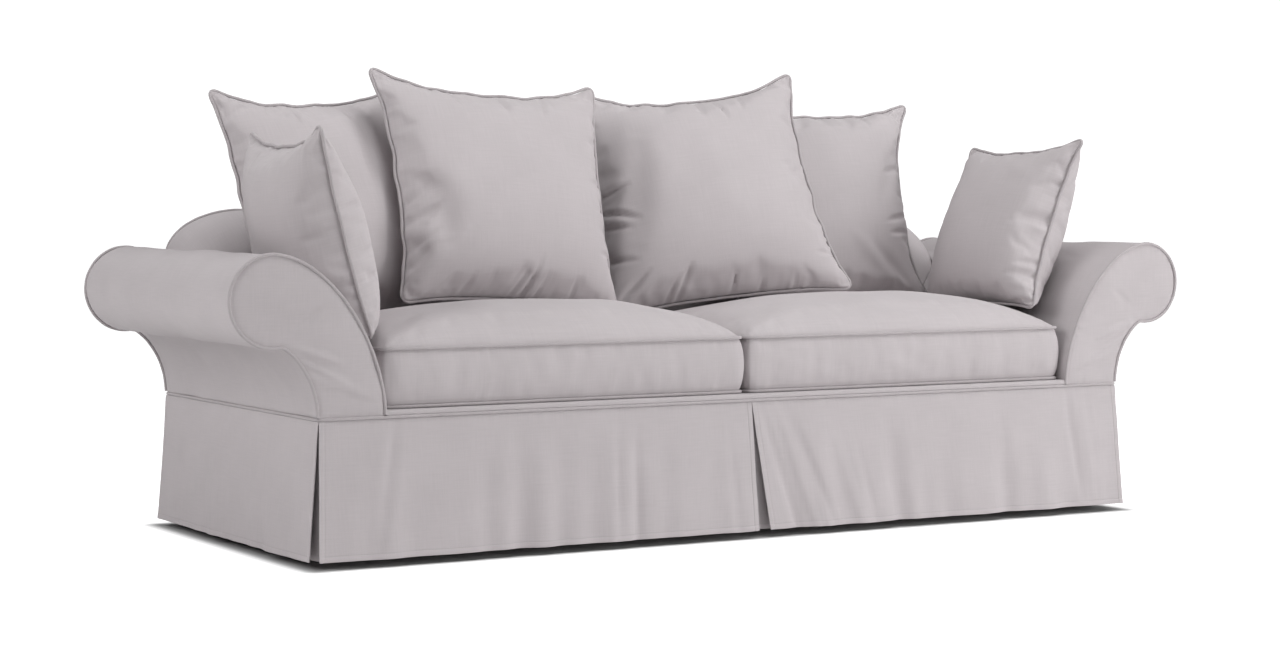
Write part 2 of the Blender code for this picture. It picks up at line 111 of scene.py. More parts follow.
class Finish:
    """A material and its nodes."""

    def __init__(self, name):
        self.material = bpy.data.materials.new(name)
        self.material.use_nodes = True
        self.tree = self.material.node_tree
        self.surface = self.tree.nodes["Principled BSDF"]

    def feed(self, socket, value):
        if isinstance(value, Wire):
            self.tree.links.new(value.socket, socket)
        else:
            socket.default_value = value

    def add(self, kind, settings=(), values=(), output=0):
        node = self.tree.nodes.new("ShaderNode" + kind)
        for key, value in dict(settings).items():
            setattr(node, key, value)
        for key, value in dict(values).items():
            self.feed(node.inputs[key], value)
        return Wire(self, node.outputs[output])

    def mix(self, share, first, second):
        """Runs from the first colour to the second."""
        return self.add("Mix", {"data_type": "RGBA"}, {0: share, 6: first, 7: second}, 2)

    def show(self, **values):
        """Sets the surface's sockets, such as Base_Color."""
        for key, value in values.items():
            self.feed(self.surface.inputs[key.replace("_", " ")], value)


# The floor glows white everywhere but close to the cover: within 60 mm of the cover's footprint its glow
# fades out, a painted shadow, so there the thin real shadow under the hem shows on the lit floor
floor_paint = Finish("studio_floor")
ground = floor_paint.add("TexCoord", output=3)
ground = floor_paint.add("SeparateXYZ", values={0: ground})
beyond_x = (abs(ground) - 1.040).at_least(0)
beyond_y = (abs(ground.output(1)) - 0.436).at_least(0)
beyond = (beyond_x * beyond_x + beyond_y * beyond_y).root()
# Painted shadow: the floor's glow is zero at the footprint's edge and rises to full 60 mm out
glow_with_painted_shadow = floor_paint.mix(beyond.step(0.0, 0.060), (0.0, 0.0, 0.0, 1), (1.0, 1.0, 1.0, 1))
floor_paint.show(
    Base_Color=(0.5, 0.5, 0.5, 1), Roughness=1.0, Emission_Color=glow_with_painted_shadow, Emission_Strength=1.05
)
bpy.ops.mesh.primitive_plane_add(size=90, location=(0, 0, -0.017))
floor = bpy.context.object
floor.name = "studio_floor"
floor.data.materials.append(floor_paint.material)
floor.visible_diffuse = False
floor.visible_shadow = False

# What the floor throws back up on the cover is that of plain white boards
board_paint = Finish("studio_boards")
board_paint.show(Base_Color=(0.85, 0.84, 0.84, 1), Roughness=1.0)
bpy.ops.mesh.primitive_plane_add(size=60, location=(0, 0, -0.030))
boards = bpy.context.object
boards.name = "studio_boards"
boards.data.materials.append(board_paint.material)
boards.visible_camera = False

surround_paint = Finish("studio_surround")
surround_paint.show(Base_Color=(0, 0, 0, 1), Emission_Color=(1, 1, 1, 1), Emission_Strength=1.1)
bpy.ops.mesh.primitive_uv_sphere_add(segments=48, ring_count=24, radius=44)
surround = bpy.context.object
surround.name = "studio_surround"
surround.data.materials.append(surround_paint.material)
for ray in ("diffuse", "glossy", "transmission", "volume_scatter", "shadow"):
    setattr(surround, "visible_" + ray, False)

world = bpy.data.worlds.new("studio_light")
bpy.context.scene.world = world
world.use_nodes = True
world.node_tree.nodes["Background"].inputs["Color"].default_value = (0.97, 0.98, 1.0, 1)
world.node_tree.nodes["Background"].inputs["Strength"].default_value = 0.07


def add_softbox(name, place, aim, size, power):
    bpy.ops.object.light_add(type="AREA", location=place)
    box = bpy.context.object
    box.name = name
    box.data.shape = "RECTANGLE"
    box.data.size, box.data.size_y = size
    box.data.energy = power
    box.rotation_euler = (Vector(aim) - box.location).to_track_quat("-Z", "Y").to_euler()


add_softbox("softbox_top", (0.9, -1.5, 4.6), (0.1, 0, 0.3), (4.5, 3.5), 145)
add_softbox("softbox_left", (-4.4, -0.4, 2.6), (-0.5, 0, 0.4), (2.6, 2.4), 104)
add_softbox("softbox_right", (3.4, -4.4, 1.1), (0.1, 0, 0.4), (3.0, 2.0), 158)
add_softbox("softbox_back", (0.6, 1.6, 4.4), (0, 0, 0.4), (4.0, 3.0), 32)


# ---------------------------------------------------------------- rolled arms
# Each arm of the cover is three panels of smooth plain-woven cotton cloth over a padded scroll: an
# inside arm from under the roll, round it and down to the deck, an outside arm below the roll, and
# a front with the scroll's outline. They are sewn into one seam with a covered cord between them.
WIDE, DEEP = 1.03, 0.851         # half the cover's width, and its depth, at the skirt's welt
TUCK = 0.0038                    # from a welt's centre line to the panels on both sides of it
SKIRT_TOP, DECK = 0.284, 0.298
FRONT, REAR = -DEEP / 2, DEEP / 2
ROLL = np.array([1.124, 0.523])
ROLL_RADIUS = 0.0933
ARM_FOOT = 0.881
SHOULDER_Z, BACK_ROUND = 0.590, 0.060    # where the back's top edge starts to round, and how much
THREAD = 0.00085                 # from one thread of the weave to the next
HEM, STITCH = 0.0118, 0.0032     # from an edge to its row of stitches, and from stitch to stitch


def woven_cloth(name, colour, turn=0.0, hemmed=False):
    """Smooth cotton cloth: a fine plain weave with slightly uneven threads, soft and matt."""
    cloth = Finish(name)
    cut = cloth.add("UVMap", {"uv_map": "UVMap"})
    if turn:
        cut = cloth.add("Mapping", values={"Vector": cut, "Rotation": (0, 0, turn)})
    across = cloth.add("SeparateXYZ", values={0: cut})
    along = across.output(1)

    # Threads over and under each other
    warp = (across * (math.pi / THREAD)).sine()
    weft = (along * (math.pi / THREAD)).sine()
    over = warp * weft * 0.5 + 0.5
    weave = abs(warp) * over + abs(weft) * (1 - over)

    # Thicker and thinner threads both ways, a soft cloudiness, and a fine nap
    def threads(stretch, seed):
        laid = cloth.add("Mapping", values={"Vector": cut, "Scale": stretch, "Location": (seed, 0, 0)})
        return cloth.add("TexNoise", {}, {"Vector": laid, "Scale": 1.0, "Detail": 2.0})

    slub = threads((420, 16, 1), 3.1) * 0.5 + threads((16, 420, 1), 7.7) * 0.5
    cloud = cloth.add("TexNoise", {}, {"Vector": cut, "Scale": 9.0, "Detail": 3.0})
    nap = cloth.add("TexNoise", {}, {"Vector": cut, "Scale": 900.0, "Detail": 1.0})
    light = slub * 0.62 + cloud * 0.30 + weave * 0.08
    dark_tone = tuple(c * 0.93 for c in colour) + (1,)
    light_tone = tuple(min(c * 1.07, 1) for c in colour) + (1,)
    tone = cloth.mix(light.step(0.22, 0.78), dark_tone, light_tone)
    height = weave * 0.5 + slub * 0.9 + nap * 0.25
    if hemmed:
        # A line of stitches along the hem and along both side edges
        edge = cloth.add("UVMap", {"uv_map": "hems"})
        side = cloth.add("SeparateXYZ", values={0: edge})
        up = side.output(1)

        def stitch_row(off, run, crossing):
            row = 1 - (abs(off - HEM) / 0.0007).step(0.5, 1.0)
            dash = (run * (math.tau / STITCH)).sine().step(-0.5, 0.1)
            inside = crossing.step(0.0100, 0.0112)
            return row * dash * inside, row * inside

        low_thread, low_groove = stitch_row(up, across, side)
        side_thread, side_groove = stitch_row(side, along, up)
        thread = low_thread + side_thread
        groove = low_groove + side_groove
        # The stitch row is painted darker, most between the stitches: painted shade in the stitch groove
        painted_groove_shade = tuple(c * 0.80 for c in colour) + (1,)
        tone = cloth.mix(groove * 0.75 - thread * 0.35, tone, painted_groove_shade)
        height = height + thread * 1.5 - groove * 1.5
    bump = cloth.add("Bump", {}, {"Strength": 0.55, "Distance": 0.00012, "Height": height})
    cloth.show(
        Base_Color=tone,
        Roughness=0.82 + slub * 0.12,
        Normal=bump,
        Sheen_Weight=0.12,
        Sheen_Roughness=0.45,
        Specular_IOR_Level=0.25,
    )
    return cloth.material


cover_cloth = woven_cloth("cover_cloth", (0.475, 0.440, 0.450))


def bezier(start, pull_a, pull_b, end, count=49):
    t = np.linspace(0, 1, count)[:, None]
    start, pull_a, pull_b, end = (np.array(p, float) for p in (start, pull_a, pull_b, end))
    return (
        start * (1 - t) ** 3
        + 3 * pull_a * t * (1 - t) ** 2
        + 3 * pull_b * t * t * (1 - t)
        + end * t**3
    )


def roll_point(degrees):
    angle = np.radians(degrees)
    return ROLL + ROLL_RADIUS * np.stack([np.cos(angle), np.sin(angle)], axis=-1)


# The scroll of the right arm, seen from the front: up its outer side to the notch, round the roll
# and down its inner slope
NOTCH = roll_point(-100)
outer_side = bezier((WIDE, SKIRT_TOP), (WIDE, SKIRT_TOP + 0.080), NOTCH - (0.028, 0.010), NOTCH, 33)
roll = roll_point(np.linspace(-100, 101, 68))


def inner_slope(foot):
    top = roll[-1]
    pull = (-math.sin(math.radians(101)) * 0.128, math.cos(math.radians(101)) * 0.128)
    return bezier(top, top + pull, (ARM_FOOT, foot + 0.130), (ARM_FOOT, foot), 65)


slope = inner_slope(DECK - 0.010)


def arc_length(route):
    return np.concatenate([[0], np.cumsum(np.linalg.norm(np.diff(route, axis=0), axis=-1))])


def follow(route, at):
    """The points of a route at these distances along it."""
    along = arc_length(route)
    return np.stack([np.interp(at, along, route[:, i]) for i in range(route.shape[1])], axis=-1)


def steps(total, step, edge=(0.0015, 0.0040, 0.0080, 0.0130)):
    """Distances across a panel, closer together next to its two seams."""
    near = np.array(edge)
    count = max(2, round((total - 2 * near[-1]) / step) + 1)
    middle = np.linspace(near[-1], total - near[-1], count)
    return np.concatenate([[0], near[:-1], middle, (total - near[:-1])[::-1], [total]])


def wander(seed, wave, *places):
    """A smooth uneven swell between about -1 and 1, with waves of about this length."""
    chance = np.random.default_rng(seed)
    total = 0
    for _ in range(7):
        way = chance.normal(size=len(places))
        way *= math.tau / (wave * chance.uniform(0.7, 1.5) * np.linalg.norm(way))
        total = total + np.sin(sum(w * p for w, p in zip(way, places)) + chance.uniform(0, math.tau))
    return total / 3


def creases(folds, u, v):
    """Soft folds from one place to another, each with its width and height; some are troughs, and
    the cloth beside each swells a little the other way."""
    total = np.zeros(np.broadcast(u, v).shape)
    for u0, v0, u1, v1, width, height in folds:
        du, dv = u1 - u0, v1 - v0
        share = np.clip(((u - u0) * du + (v - v0) * dv) / (du * du + dv * dv), 0, 1)
        off = np.hypot(u - u0 - share * du, v - v0 - share * dv)
        swell = np.sin(math.pi * np.clip(share, 0.04, 0.96)) ** 0.7
        near = (off / (width * (0.5 + 0.5 * swell))) ** 2
        total += height * swell * (1 - 0.9 * near) * np.exp(-near)
    return total


def seam_pull(off, along, seed, pucker=0.0006):
    """How a seam draws cloth in: a narrow valley, and small puckers that fade away from it."""
    valley = -0.0010 * np.exp(-((off / 0.004) ** 2))
    gather = wander(seed, 0.026, along) * (0.6 + 0.6 * wander(seed + 50, 0.2, along))
    return valley + pucker * gather * np.exp(-off / 0.016) * np.minimum(off / 0.005, 1)


def finish_mesh(piece, angle=50):
    bpy.ops.object.select_all(action="DESELECT")
    piece.select_set(True)
    bpy.context.view_layer.objects.active = piece
    bpy.ops.object.shade_smooth_by_angle(angle=math.radians(angle))


def apply_modifiers(piece):
    bpy.context.view_layer.objects.active = piece
    for modifier in list(piece.modifiers):
        bpy.ops.object.modifier_apply(modifier=modifier.name)


def weave_grid(name, face, cut_u, cut_v, turned=False):
    """A grid of cloth through the points of face, with its place in the flat cut as its UV map."""
    bpy.ops.object.select_all(action="DESELECT")
    bpy.ops.mesh.primitive_grid_add(x_subdivisions=face.shape[1] - 1, y_subdivisions=face.shape[0] - 1)
    piece = bpy.context.object
    piece.name = piece.data.name = name
    mesh = piece.data
    mesh.vertices.foreach_set("co", face.astype(np.float32).ravel())
    corner = np.empty(len(mesh.loops), np.int32)
    mesh.loops.foreach_get("vertex_index", corner)
    cut = np.stack([np.broadcast_to(way, face.shape[:2]) for way in (cut_u, cut_v)], axis=-1)
    mesh.uv_layers[0].name = "UVMap"
    mesh.uv_layers[0].data.foreach_set("uv", cut.reshape(-1, 2)[corner].astype(np.float32).ravel())
    mesh.update()
    if turned:
        bpy.ops.object.mode_set(mode="EDIT")
        bpy.ops.mesh.select_all(action="SELECT")
        bpy.ops.mesh.flip_normals()
        bpy.ops.object.mode_set(mode="OBJECT")
    return piece


def outward(face, turned=False):
    across = np.gradient(face, axis=1)
    upward = np.gradient(face, axis=0)
    normal = np.cross(across, upward)
    normal /= np.maximum(np.linalg.norm(normal, axis=-1, keepdims=True), 1e-12)
    return -normal if turned else normal


def thicken(piece, thick=0.002):
    wall = piece.modifiers.new("cloth", "SOLIDIFY")
    wall.thickness = thick
    wall.offset = -1
    wall.use_even_offset = True
    apply_modifiers(piece)


def lay_panel(node, us, vs, place, relief, turned=False):
    """A panel of the cover. us and vs are distances across and up the cut cloth, place gives its
    visible face, and relief says how far that stands out."""
    u, v = np.meshgrid(us, vs)
    face = place(u, v)
    face = face + outward(face, turned) * relief(u, v)[..., None]
    cut_u = np.concatenate(
        [np.zeros((len(vs), 1)), np.cumsum(np.linalg.norm(np.diff(face, axis=1), axis=-1), axis=1)], axis=1
    )
    cut_u -= cut_u[:, -1:] / 2
    piece = weave_grid(node + "_cloth", face, cut_u, v, turned)
    thicken(piece)
    finish_mesh(piece)
    return piece


def sew_on(piece, node, material):
    piece.data.materials.clear()
    piece.data.materials.append(material)
    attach(piece, "root")
    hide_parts(node)
    return piece


def face_depth(z):
    """y of the inside back's face at a height."""
    share = np.clip((z - DECK) / (SHOULDER_Z - DECK), 0, 1.3)
    return FRONT + 0.620 + 0.052 * share


PANEL_FRONT, PANEL_REAR = FRONT + 0.001 + TUCK, REAR - 0.001 - TUCK

for side, hand in ((-1, "left"), (1, "right")):
    left = side < 0

    # Inside arm: the roll runs on to the outside back, the slope ends at the inside back
    route = np.concatenate([roll[:-1], slope])
    long_route = arc_length(route)[-1]
    vs = steps(long_route, 0.0095)
    us = steps(PANEL_REAR - PANEL_FRONT, 0.0105)

    def rear_end(z, x):
        """Where a row of the inside arm ends: on the slope that is at the inside back's face."""
        down = np.clip(SHOULDER_Z - z, 0, 1)
        turn = np.arccos(1 - np.clip(down / BACK_ROUND, 0, 1))
        face = face_depth(z)
        back = PANEL_REAR - (PANEL_REAR - face) * np.sin(turn) - 0.001
        return np.where((z < SHOULDER_Z) & (x < 1.10), back, PANEL_REAR)

    def place_inside_arm(u, v):
        point = follow(route, np.maximum(v, 0.0011))
        end = rear_end(point[..., 1], point[..., 0])
        y = PANEL_FRONT + (end - PANEL_FRONT) * u / (PANEL_REAR - PANEL_FRONT)
        return np.stack([side * point[..., 0], y, point[..., 1]], axis=-1)

    def inside_arm_relief(u, v):
        wide = PANEL_REAR - PANEL_FRONT
        ease = 0.0016 * wander(11 + left, 0.26, u, v * 1.3) + 0.0005 * wander(14 + left, 0.07, u * 0.5, v)
        folds = [(0.02, 0.17, 0.10, 0.20, 0.010, 0.0016), (0.05, 0.30, 0.24, 0.33, 0.016, 0.0020),
                 (0.45, 0.14, 0.80, 0.19, 0.020, 0.0015), (0.10, 0.42, 0.40, 0.36, 0.022, -0.0020),
                 (0.50, 0.44, 0.72, 0.34, 0.022, 0.0022), (0.01, 0.07, 0.07, 0.10, 0.008, -0.0012)]
        return (ease + creases(folds, u, v) + seam_pull(u, v, 21 + left)
                + seam_pull(wide - u, v, 23 + left) + seam_pull(v, u, 25 + left, 0.0004))

    panel = lay_panel(f"inside_arm_{hand}", us, vs, place_inside_arm, inside_arm_relief, left)
    sew_on(panel, f"inside_arm_{hand}", cover_cloth)

    # Outside arm: from the skirt's welt up to the seam under the roll
    up_route = outer_side[outer_side[:, 1] > SKIRT_TOP + TUCK]
    up_route = np.concatenate([[(WIDE, SKIRT_TOP + TUCK)], up_route])
    long_up = arc_length(up_route)[-1]
    vs = steps(long_up, 0.010)

    def place_outside_arm(u, v):
        point = follow(up_route, np.minimum(v, long_up - 0.0011))
        return np.stack([side * point[..., 0], PANEL_FRONT + u, point[..., 1]], axis=-1)

    def outside_arm_relief(u, v):
        wide = PANEL_REAR - PANEL_FRONT
        ease = 0.0012 * wander(31 + left, 0.22, u, v)
        folds = [(0.08, 0.02, 0.22, 0.15, 0.018, 0.0016), (0.52, 0.03, 0.60, 0.16, 0.020, -0.0014),
                 (0.02, 0.14, 0.16, 0.17, 0.010, 0.0016)]
        return (ease + creases(folds, u, v) + seam_pull(u, v, 33 + left)
                + seam_pull(wide - u, v, 35 + left) + seam_pull(v, u, 37 + left)
                + seam_pull(long_up - v, u, 39 + left))

    panel = lay_panel(f"outside_arm_{hand}", us, vs, place_outside_arm, outside_arm_relief, left)
    sew_on(panel, f"outside_arm_{hand}", cover_cloth)


def offset_line(line, distance, closed=False):
    """The line moved to the left of its direction, mitred at the bends."""
    before = np.roll(line, 1, axis=0)
    after = np.roll(line, -1, axis=0)
    if not closed:
        before[0] = line[0]
        after[-1] = line[-1]

    def left_of(ahead):
        size = np.linalg.norm(ahead, axis=1, keepdims=True)
        return np.stack([-ahead[:, 1], ahead[:, 0]], axis=1) / np.maximum(size, 1e-9)

    first, second = left_of(line - before), left_of(after - line)
    if not closed:
        first[0], second[-1] = second[0], first[-1]
    mitre = first + second
    mitre /= np.linalg.norm(mitre, axis=1, keepdims=True)
    return line + mitre * (distance / np.maximum((mitre * second).sum(axis=1, keepdims=True), 0.4))


def off_line(x, z, line):
    """How far points lie from a closed line, and how far along the line that is."""
    points = np.stack([np.ravel(x), np.ravel(z)], axis=1)
    along = arc_length(np.concatenate([line, line[:1]]))
    best = np.full(len(points), 1e9)
    where = np.zeros(len(points))
    for i, (start, end) in enumerate(zip(line, np.roll(line, -1, axis=0))):
        ahead = end - start
        size = max(ahead @ ahead, 1e-12)
        share = np.clip((points - start) @ ahead / size, 0, 1)
        off = np.linalg.norm(points - start - share[:, None] * ahead, axis=1)
        nearer = off < best
        best[nearer] = off[nearer]
        where[nearer] = along[i] + share[nearer] * math.sqrt(size)
    return best.reshape(np.shape(x)), where.reshape(np.shape(x))


def with_feet(line, start_x, end_x):
    foot = SKIRT_TOP + TUCK + 0.0009
    line = line[line[:, 1] > SKIRT_TOP + 2 * TUCK]
    return np.concatenate([[(start_x, foot)], line, [(end_x, foot)]])


def cut_panel(node, outline, y, step, relief, turned=False):
    """A flat upright panel: cloth with its folds, cut to an (x, z) outline."""
    low, high = outline.min(axis=0) - 0.006, outline.max(axis=0) + 0.006
    us = np.linspace(low[0], high[0], round((high[0] - low[0]) / step) + 1)
    vs = np.linspace(low[1], high[1], round((high[1] - low[1]) / step) + 1)
    u, v = np.meshgrid(us, vs)
    out = 1 if turned else -1
    face = np.stack([u, y + out * relief(u, v), v], axis=-1)
    piece = weave_grid(node + "_cloth", face, u, v, turned)
    thicken(piece)

    bpy.ops.object.select_all(action="DESELECT")
    bpy.ops.mesh.primitive_circle_add(vertices=len(outline), fill_type="NGON")
    cutter = bpy.context.object
    edge = np.stack([outline[:, 0], np.full(len(outline), y - 0.03), outline[:, 1]], axis=-1)
    cutter.data.vertices.foreach_set("co", edge.astype(np.float32).ravel())
    bpy.ops.object.mode_set(mode="EDIT")
    bpy.ops.mesh.select_all(action="SELECT")
    bpy.ops.mesh.extrude_region_move(TRANSFORM_OT_translate={"value": (0, 0.06, 0)})
    bpy.ops.mesh.select_all(action="SELECT")
    bpy.ops.mesh.normals_make_consistent(inside=False)
    bpy.ops.object.mode_set(mode="OBJECT")
    trim = piece.modifiers.new("outline", "BOOLEAN")
    trim.operation = "INTERSECT"
    trim.solver = "EXACT"
    trim.object = cutter
    apply_modifiers(piece)
    bpy.data.objects.remove(cutter, do_unlink=True)

    mesh = piece.data
    corner = np.empty(len(mesh.loops), np.int32)
    mesh.loops.foreach_get("vertex_index", corner)
    co = np.empty(len(mesh.vertices) * 3, np.float32)
    mesh.vertices.foreach_get("co", co)
    cut = co.reshape(-1, 3)[corner][:, (0, 2)]
    mesh.uv_layers[0].data.foreach_set("uv", np.ascontiguousarray(cut).ravel())
    finish_mesh(piece, 35)
    return piece


# Arm fronts: slightly padded, drawn in along the cord, with soft pulls from the notch to the slope
arm_line = with_feet(np.concatenate([outer_side[:-1], roll[:-1], inner_slope(SKIRT_TOP)]), WIDE, ARM_FOOT)
arm_outline = offset_line(arm_line, TUCK - 0.0012)
arm_outline[[0, -1], 1] = SKIRT_TOP + TUCK - 0.0008
FRONT_FOLDS = [
    (1.078, 0.430, 0.975, 0.395, 0.010, 0.0042), (1.060, 0.405, 0.960, 0.350, 0.011, 0.0036),
    (1.070, 0.415, 0.985, 0.372, 0.006, -0.0026), (1.050, 0.372, 0.925, 0.330, 0.016, 0.0030),
    (1.075, 0.470, 1.020, 0.510, 0.012, -0.0022), (1.000, 0.345, 0.900, 0.310, 0.012, -0.0020),
]
for side, hand in ((-1, "left"), (1, "right")):
    outline = arm_outline * (side, 1)

    def front_relief(u, v):
        off, along = off_line(u, v, outline)
        pad = 0.0035 * (1 - np.exp(-off / 0.025)) - 0.001
        return (pad + seam_pull(off, along, 41 + side, 0.0007) + creases(FRONT_FOLDS, side * u, v)
                + 0.0007 * wander(43 + side, 0.09, u, v))

    panel = cut_panel(f"arm_front_{hand}", outline, FRONT, 0.0042, front_relief)
    sew_on(panel, f"arm_front_{hand}", cover_cloth)


# ---------------------------------------------------------------- back
# The inside back is one panel from the deck up over the rounded top edge, cut to the arms' slopes
# and the two shoulders. The outside back is a flat panel that also closes the ends of both arms.
SHOULDER_X, SHOULDER_WIDE, SHOULDER_HIGH = 0.849, 0.180, 0.108
quarter = np.radians(np.linspace(0, 90, 31))
shoulder = np.stack([SHOULDER_X + SHOULDER_WIDE * np.cos(quarter),
                     SHOULDER_Z + SHOULDER_HIGH * np.sin(quarter)], axis=1)
BACK_SPAN = SHOULDER_Z - DECK + 0.010
long_shoulder = arc_length(shoulder)[-1]
back_width = 2 * (long_shoulder + SHOULDER_X)


def slope_at(z):
    """x of the arm's inner slope at a height."""
    return np.interp(z, slope[::-1, 1], slope[::-1, 0])


def back_face(u, rise):
    """A point of the inside back: u across its top edge, and rise from 0 at the deck to 1 where
    the rounding starts and 2 at the outside back."""
    share = np.interp(u, [0, long_shoulder, back_width - long_shoulder, back_width], [0, 1 / 6, 5 / 6, 1])
    near = np.minimum(share, 1 - share) * 6
    angle = np.radians(90) * np.clip(near, 0, 1)

    # The shoulder runs out on to the arm's slope at the front, and in to its own outline at the rear
    corner_z = SHOULDER_Z + 0.0008
    corner_x = slope_at(corner_z) - 0.0008
    reach = corner_x + (shoulder[0, 0] - corner_x) * np.clip(rise - 1, 0, 1) ** 2
    rounded = np.sign(share - 0.5) * (SHOULDER_X + (reach - SHOULDER_X) * np.cos(angle))
    top_x = np.where(near < 1, rounded, SHOULDER_X * 3 * (share - 0.5))
    top_z = np.maximum(SHOULDER_Z + SHOULDER_HIGH * np.sin(angle), corner_z)
    turn = np.radians(90) * np.clip(2 - rise, 0, 1)
    below = np.where(rise < 1, BACK_ROUND + (BACK_SPAN - BACK_ROUND) * (1 - rise),
                     BACK_ROUND * (1 - np.cos(turn)))
    up = 1 - below / BACK_SPAN
    side_z = corner_z - below
    side_x = slope_at(side_z) - 0.0008
    foot_z = corner_z - BACK_SPAN
    foot_x = slope_at(foot_z) - 0.0008
    across = 2 * share - 1
    x = foot_x * across * (1 - up) + top_x * up + (side_x - foot_x * (1 - up) - corner_x * up) * across
    z = foot_z * (1 - up) + top_z * up
    face = face_depth(z)
    y = np.where(rise < 1, face, PANEL_REAR - (PANEL_REAR - face) * np.sin(turn))
    return np.stack([x, y, z], axis=-1)


rises = np.concatenate([np.linspace(0, 1, 60), np.linspace(1, 2, 61)[1:]])
middle_up = arc_length(back_face(np.full(len(rises), back_width / 2), rises))


def place_inside_back(u, v):
    return back_face(u, np.interp(v, middle_up, rises))


def inside_back_relief(u, v):
    ease = 0.0016 * wander(61, 0.30, u, v)
    folds = [(0.10, 0.30, 0.22, 0.47, 0.018, 0.0020),
             (back_width - 0.10, 0.30, back_width - 0.24, 0.46, 0.018, 0.0020),
             (0.06, 0.36, 0.16, 0.50, 0.012, -0.0014), (0.70, 0.36, 0.74, 0.50, 0.016, 0.0012),
             (1.30, 0.34, 1.27, 0.50, 0.016, -0.0012)]
    return (ease + creases(folds, u, v) + seam_pull(middle_up[-1] - v, u, 62)
            + seam_pull(u, v, 63) + seam_pull(back_width - u, v, 64))


panel = lay_panel("inside_back", steps(back_width, 0.0125), steps(middle_up[-1], 0.0115),
                  place_inside_back, inside_back_relief)
sew_on(panel, "inside_back", cover_cloth)

slope_low = inner_slope(SKIRT_TOP)
slope_low = slope_low[slope_low[:, 0] > shoulder[0, 0] + 0.010]
half = np.concatenate([outer_side[1:-1], roll[:-1], slope_low, shoulder])
back_line = with_feet(np.concatenate([half, (half * (-1, 1))[::-1]]), WIDE, -WIDE)
back_outline = offset_line(back_line, TUCK - 0.0012)
back_outline[[0, -1], 1] = SKIRT_TOP + TUCK - 0.0008


def outside_back_relief(u, v):
    off, along = off_line(u, v, back_outline)
    folds = [(-0.98, 0.33, -0.86, 0.55, 0.022, 0.0020), (0.98, 0.33, 0.87, 0.56, 0.022, 0.0020),
             (-0.40, 0.32, -0.36, 0.58, 0.030, 0.0016), (0.28, 0.34, 0.33, 0.62, 0.030, -0.0016),
             (1.10, 0.44, 0.98, 0.50, 0.014, 0.0018), (-1.10, 0.44, -0.98, 0.50, 0.014, 0.0018)]
    pad = 0.0030 * (1 - np.exp(-off / 0.04)) - 0.001
    return pad + seam_pull(off, along, 65, 0.0007) + creases(folds, u, v) + 0.0012 * wander(66, 0.30, u, v)


panel = cut_panel("outside_back", back_outline, REAR, 0.0115, outside_back_relief, True)
sew_on(panel, "outside_back", cover_cloth)


# ---------------------------------------------------------------- deck and front band
# The deck is the flat panel under the seat cushions. The band joins it: a strip that turns over
# the front edge and is sewn into the skirt's welt.
BAND_DEEP, BAND_SEAM = 0.120, 0.0003
band_route = np.array([(0, SKIRT_TOP + TUCK), (0, 0.2935), (0.0005, 0.2955), (0.0018, 0.2972),
                       (0.0036, 0.2979), (0.0060, DECK), (BAND_DEEP, DECK)])
long_band = arc_length(band_route)[-1]


def place_band(u, v):
    point = follow(band_route, v)
    reach = np.interp(point[..., 0], [0.002, 0.006], [ARM_FOOT - TUCK, ARM_FOOT - BAND_SEAM])
    return np.stack([(u / ARM_FOOT - 1) * reach, FRONT + point[..., 0], point[..., 1]], axis=-1)


def band_relief(u, v):
    hidden = np.clip((v - 0.02) / 0.02, 0, 1)
    return (seam_pull(v, u, 71, 0.0004) - 0.0004 * hidden * (1 + wander(72, 0.1, u, v)))


panel = lay_panel("front_band", steps(2 * ARM_FOOT, 0.014), steps(long_band, 0.006, (0.0015, 0.0040)),
                  place_band, band_relief)
sew_on(panel, "front_band", cover_cloth)


def place_deck(u, v):
    start = FRONT + BAND_DEEP + BAND_SEAM
    return np.stack([u - ARM_FOOT + BAND_SEAM, start + v, np.full(u.shape, DECK)], axis=-1)


deck_wide = 2 * (ARM_FOOT - BAND_SEAM)
deck_long = float(face_depth(DECK)) - FRONT - BAND_DEEP - 2 * BAND_SEAM
panel = lay_panel("deck", steps(deck_wide, 0.030), steps(deck_long, 0.025), place_deck,
                  lambda u, v: -0.0005 * (1 + wander(73, 0.2, u, v)))
sew_on(panel, "deck", cover_cloth)


# ---------------------------------------------------------------- skirt
# Floor-length panels hang from the welt, split at the front corners and in the middle of the front.
# Each has a hem and side hems turned in once and top-stitched 12 mm from the edge. Behind the
# splits hang the separate backings that close the inverted pleats.
skirt_cloth = woven_cloth("skirt_cloth", (0.475, 0.440, 0.450), hemmed=True)
SKIRT_LONG = SKIRT_TOP - TUCK
HEM_EDGE = np.array([0, 0.0012, 0.0050, 0.0095, 0.0110, HEM, 0.0127, 0.0150, 0.0200])
SEAM_EDGE = np.array([0, 0.0015, 0.0040, 0.0080])


def steps_between(low, high, total, step):
    """Distances from one edge to the other, closer together at both as these two lists say."""
    count = max(2, round((total - low[-1] - high[-1]) / step) + 1)
    middle = np.linspace(low[-1], total - high[-1], count)
    return np.concatenate([low[:-1], middle, (total - high[:-1])[::-1]])


def hem_steps(total, step):
    return steps_between(HEM_EDGE, SEAM_EDGE, total, step)


def side_steps(total, step):
    return steps_between(HEM_EDGE, HEM_EDGE, total, step)


def hem_relief(off):
    """The turned-in double cloth at an edge, and the line of stitches that holds it."""
    double = 0.0007 / (1 + np.exp(np.clip((off - HEM - 0.0012) / 0.0006, -40, 40)))
    return double - 0.0008 * np.exp(-(((off - HEM) / 0.0010) ** 2))


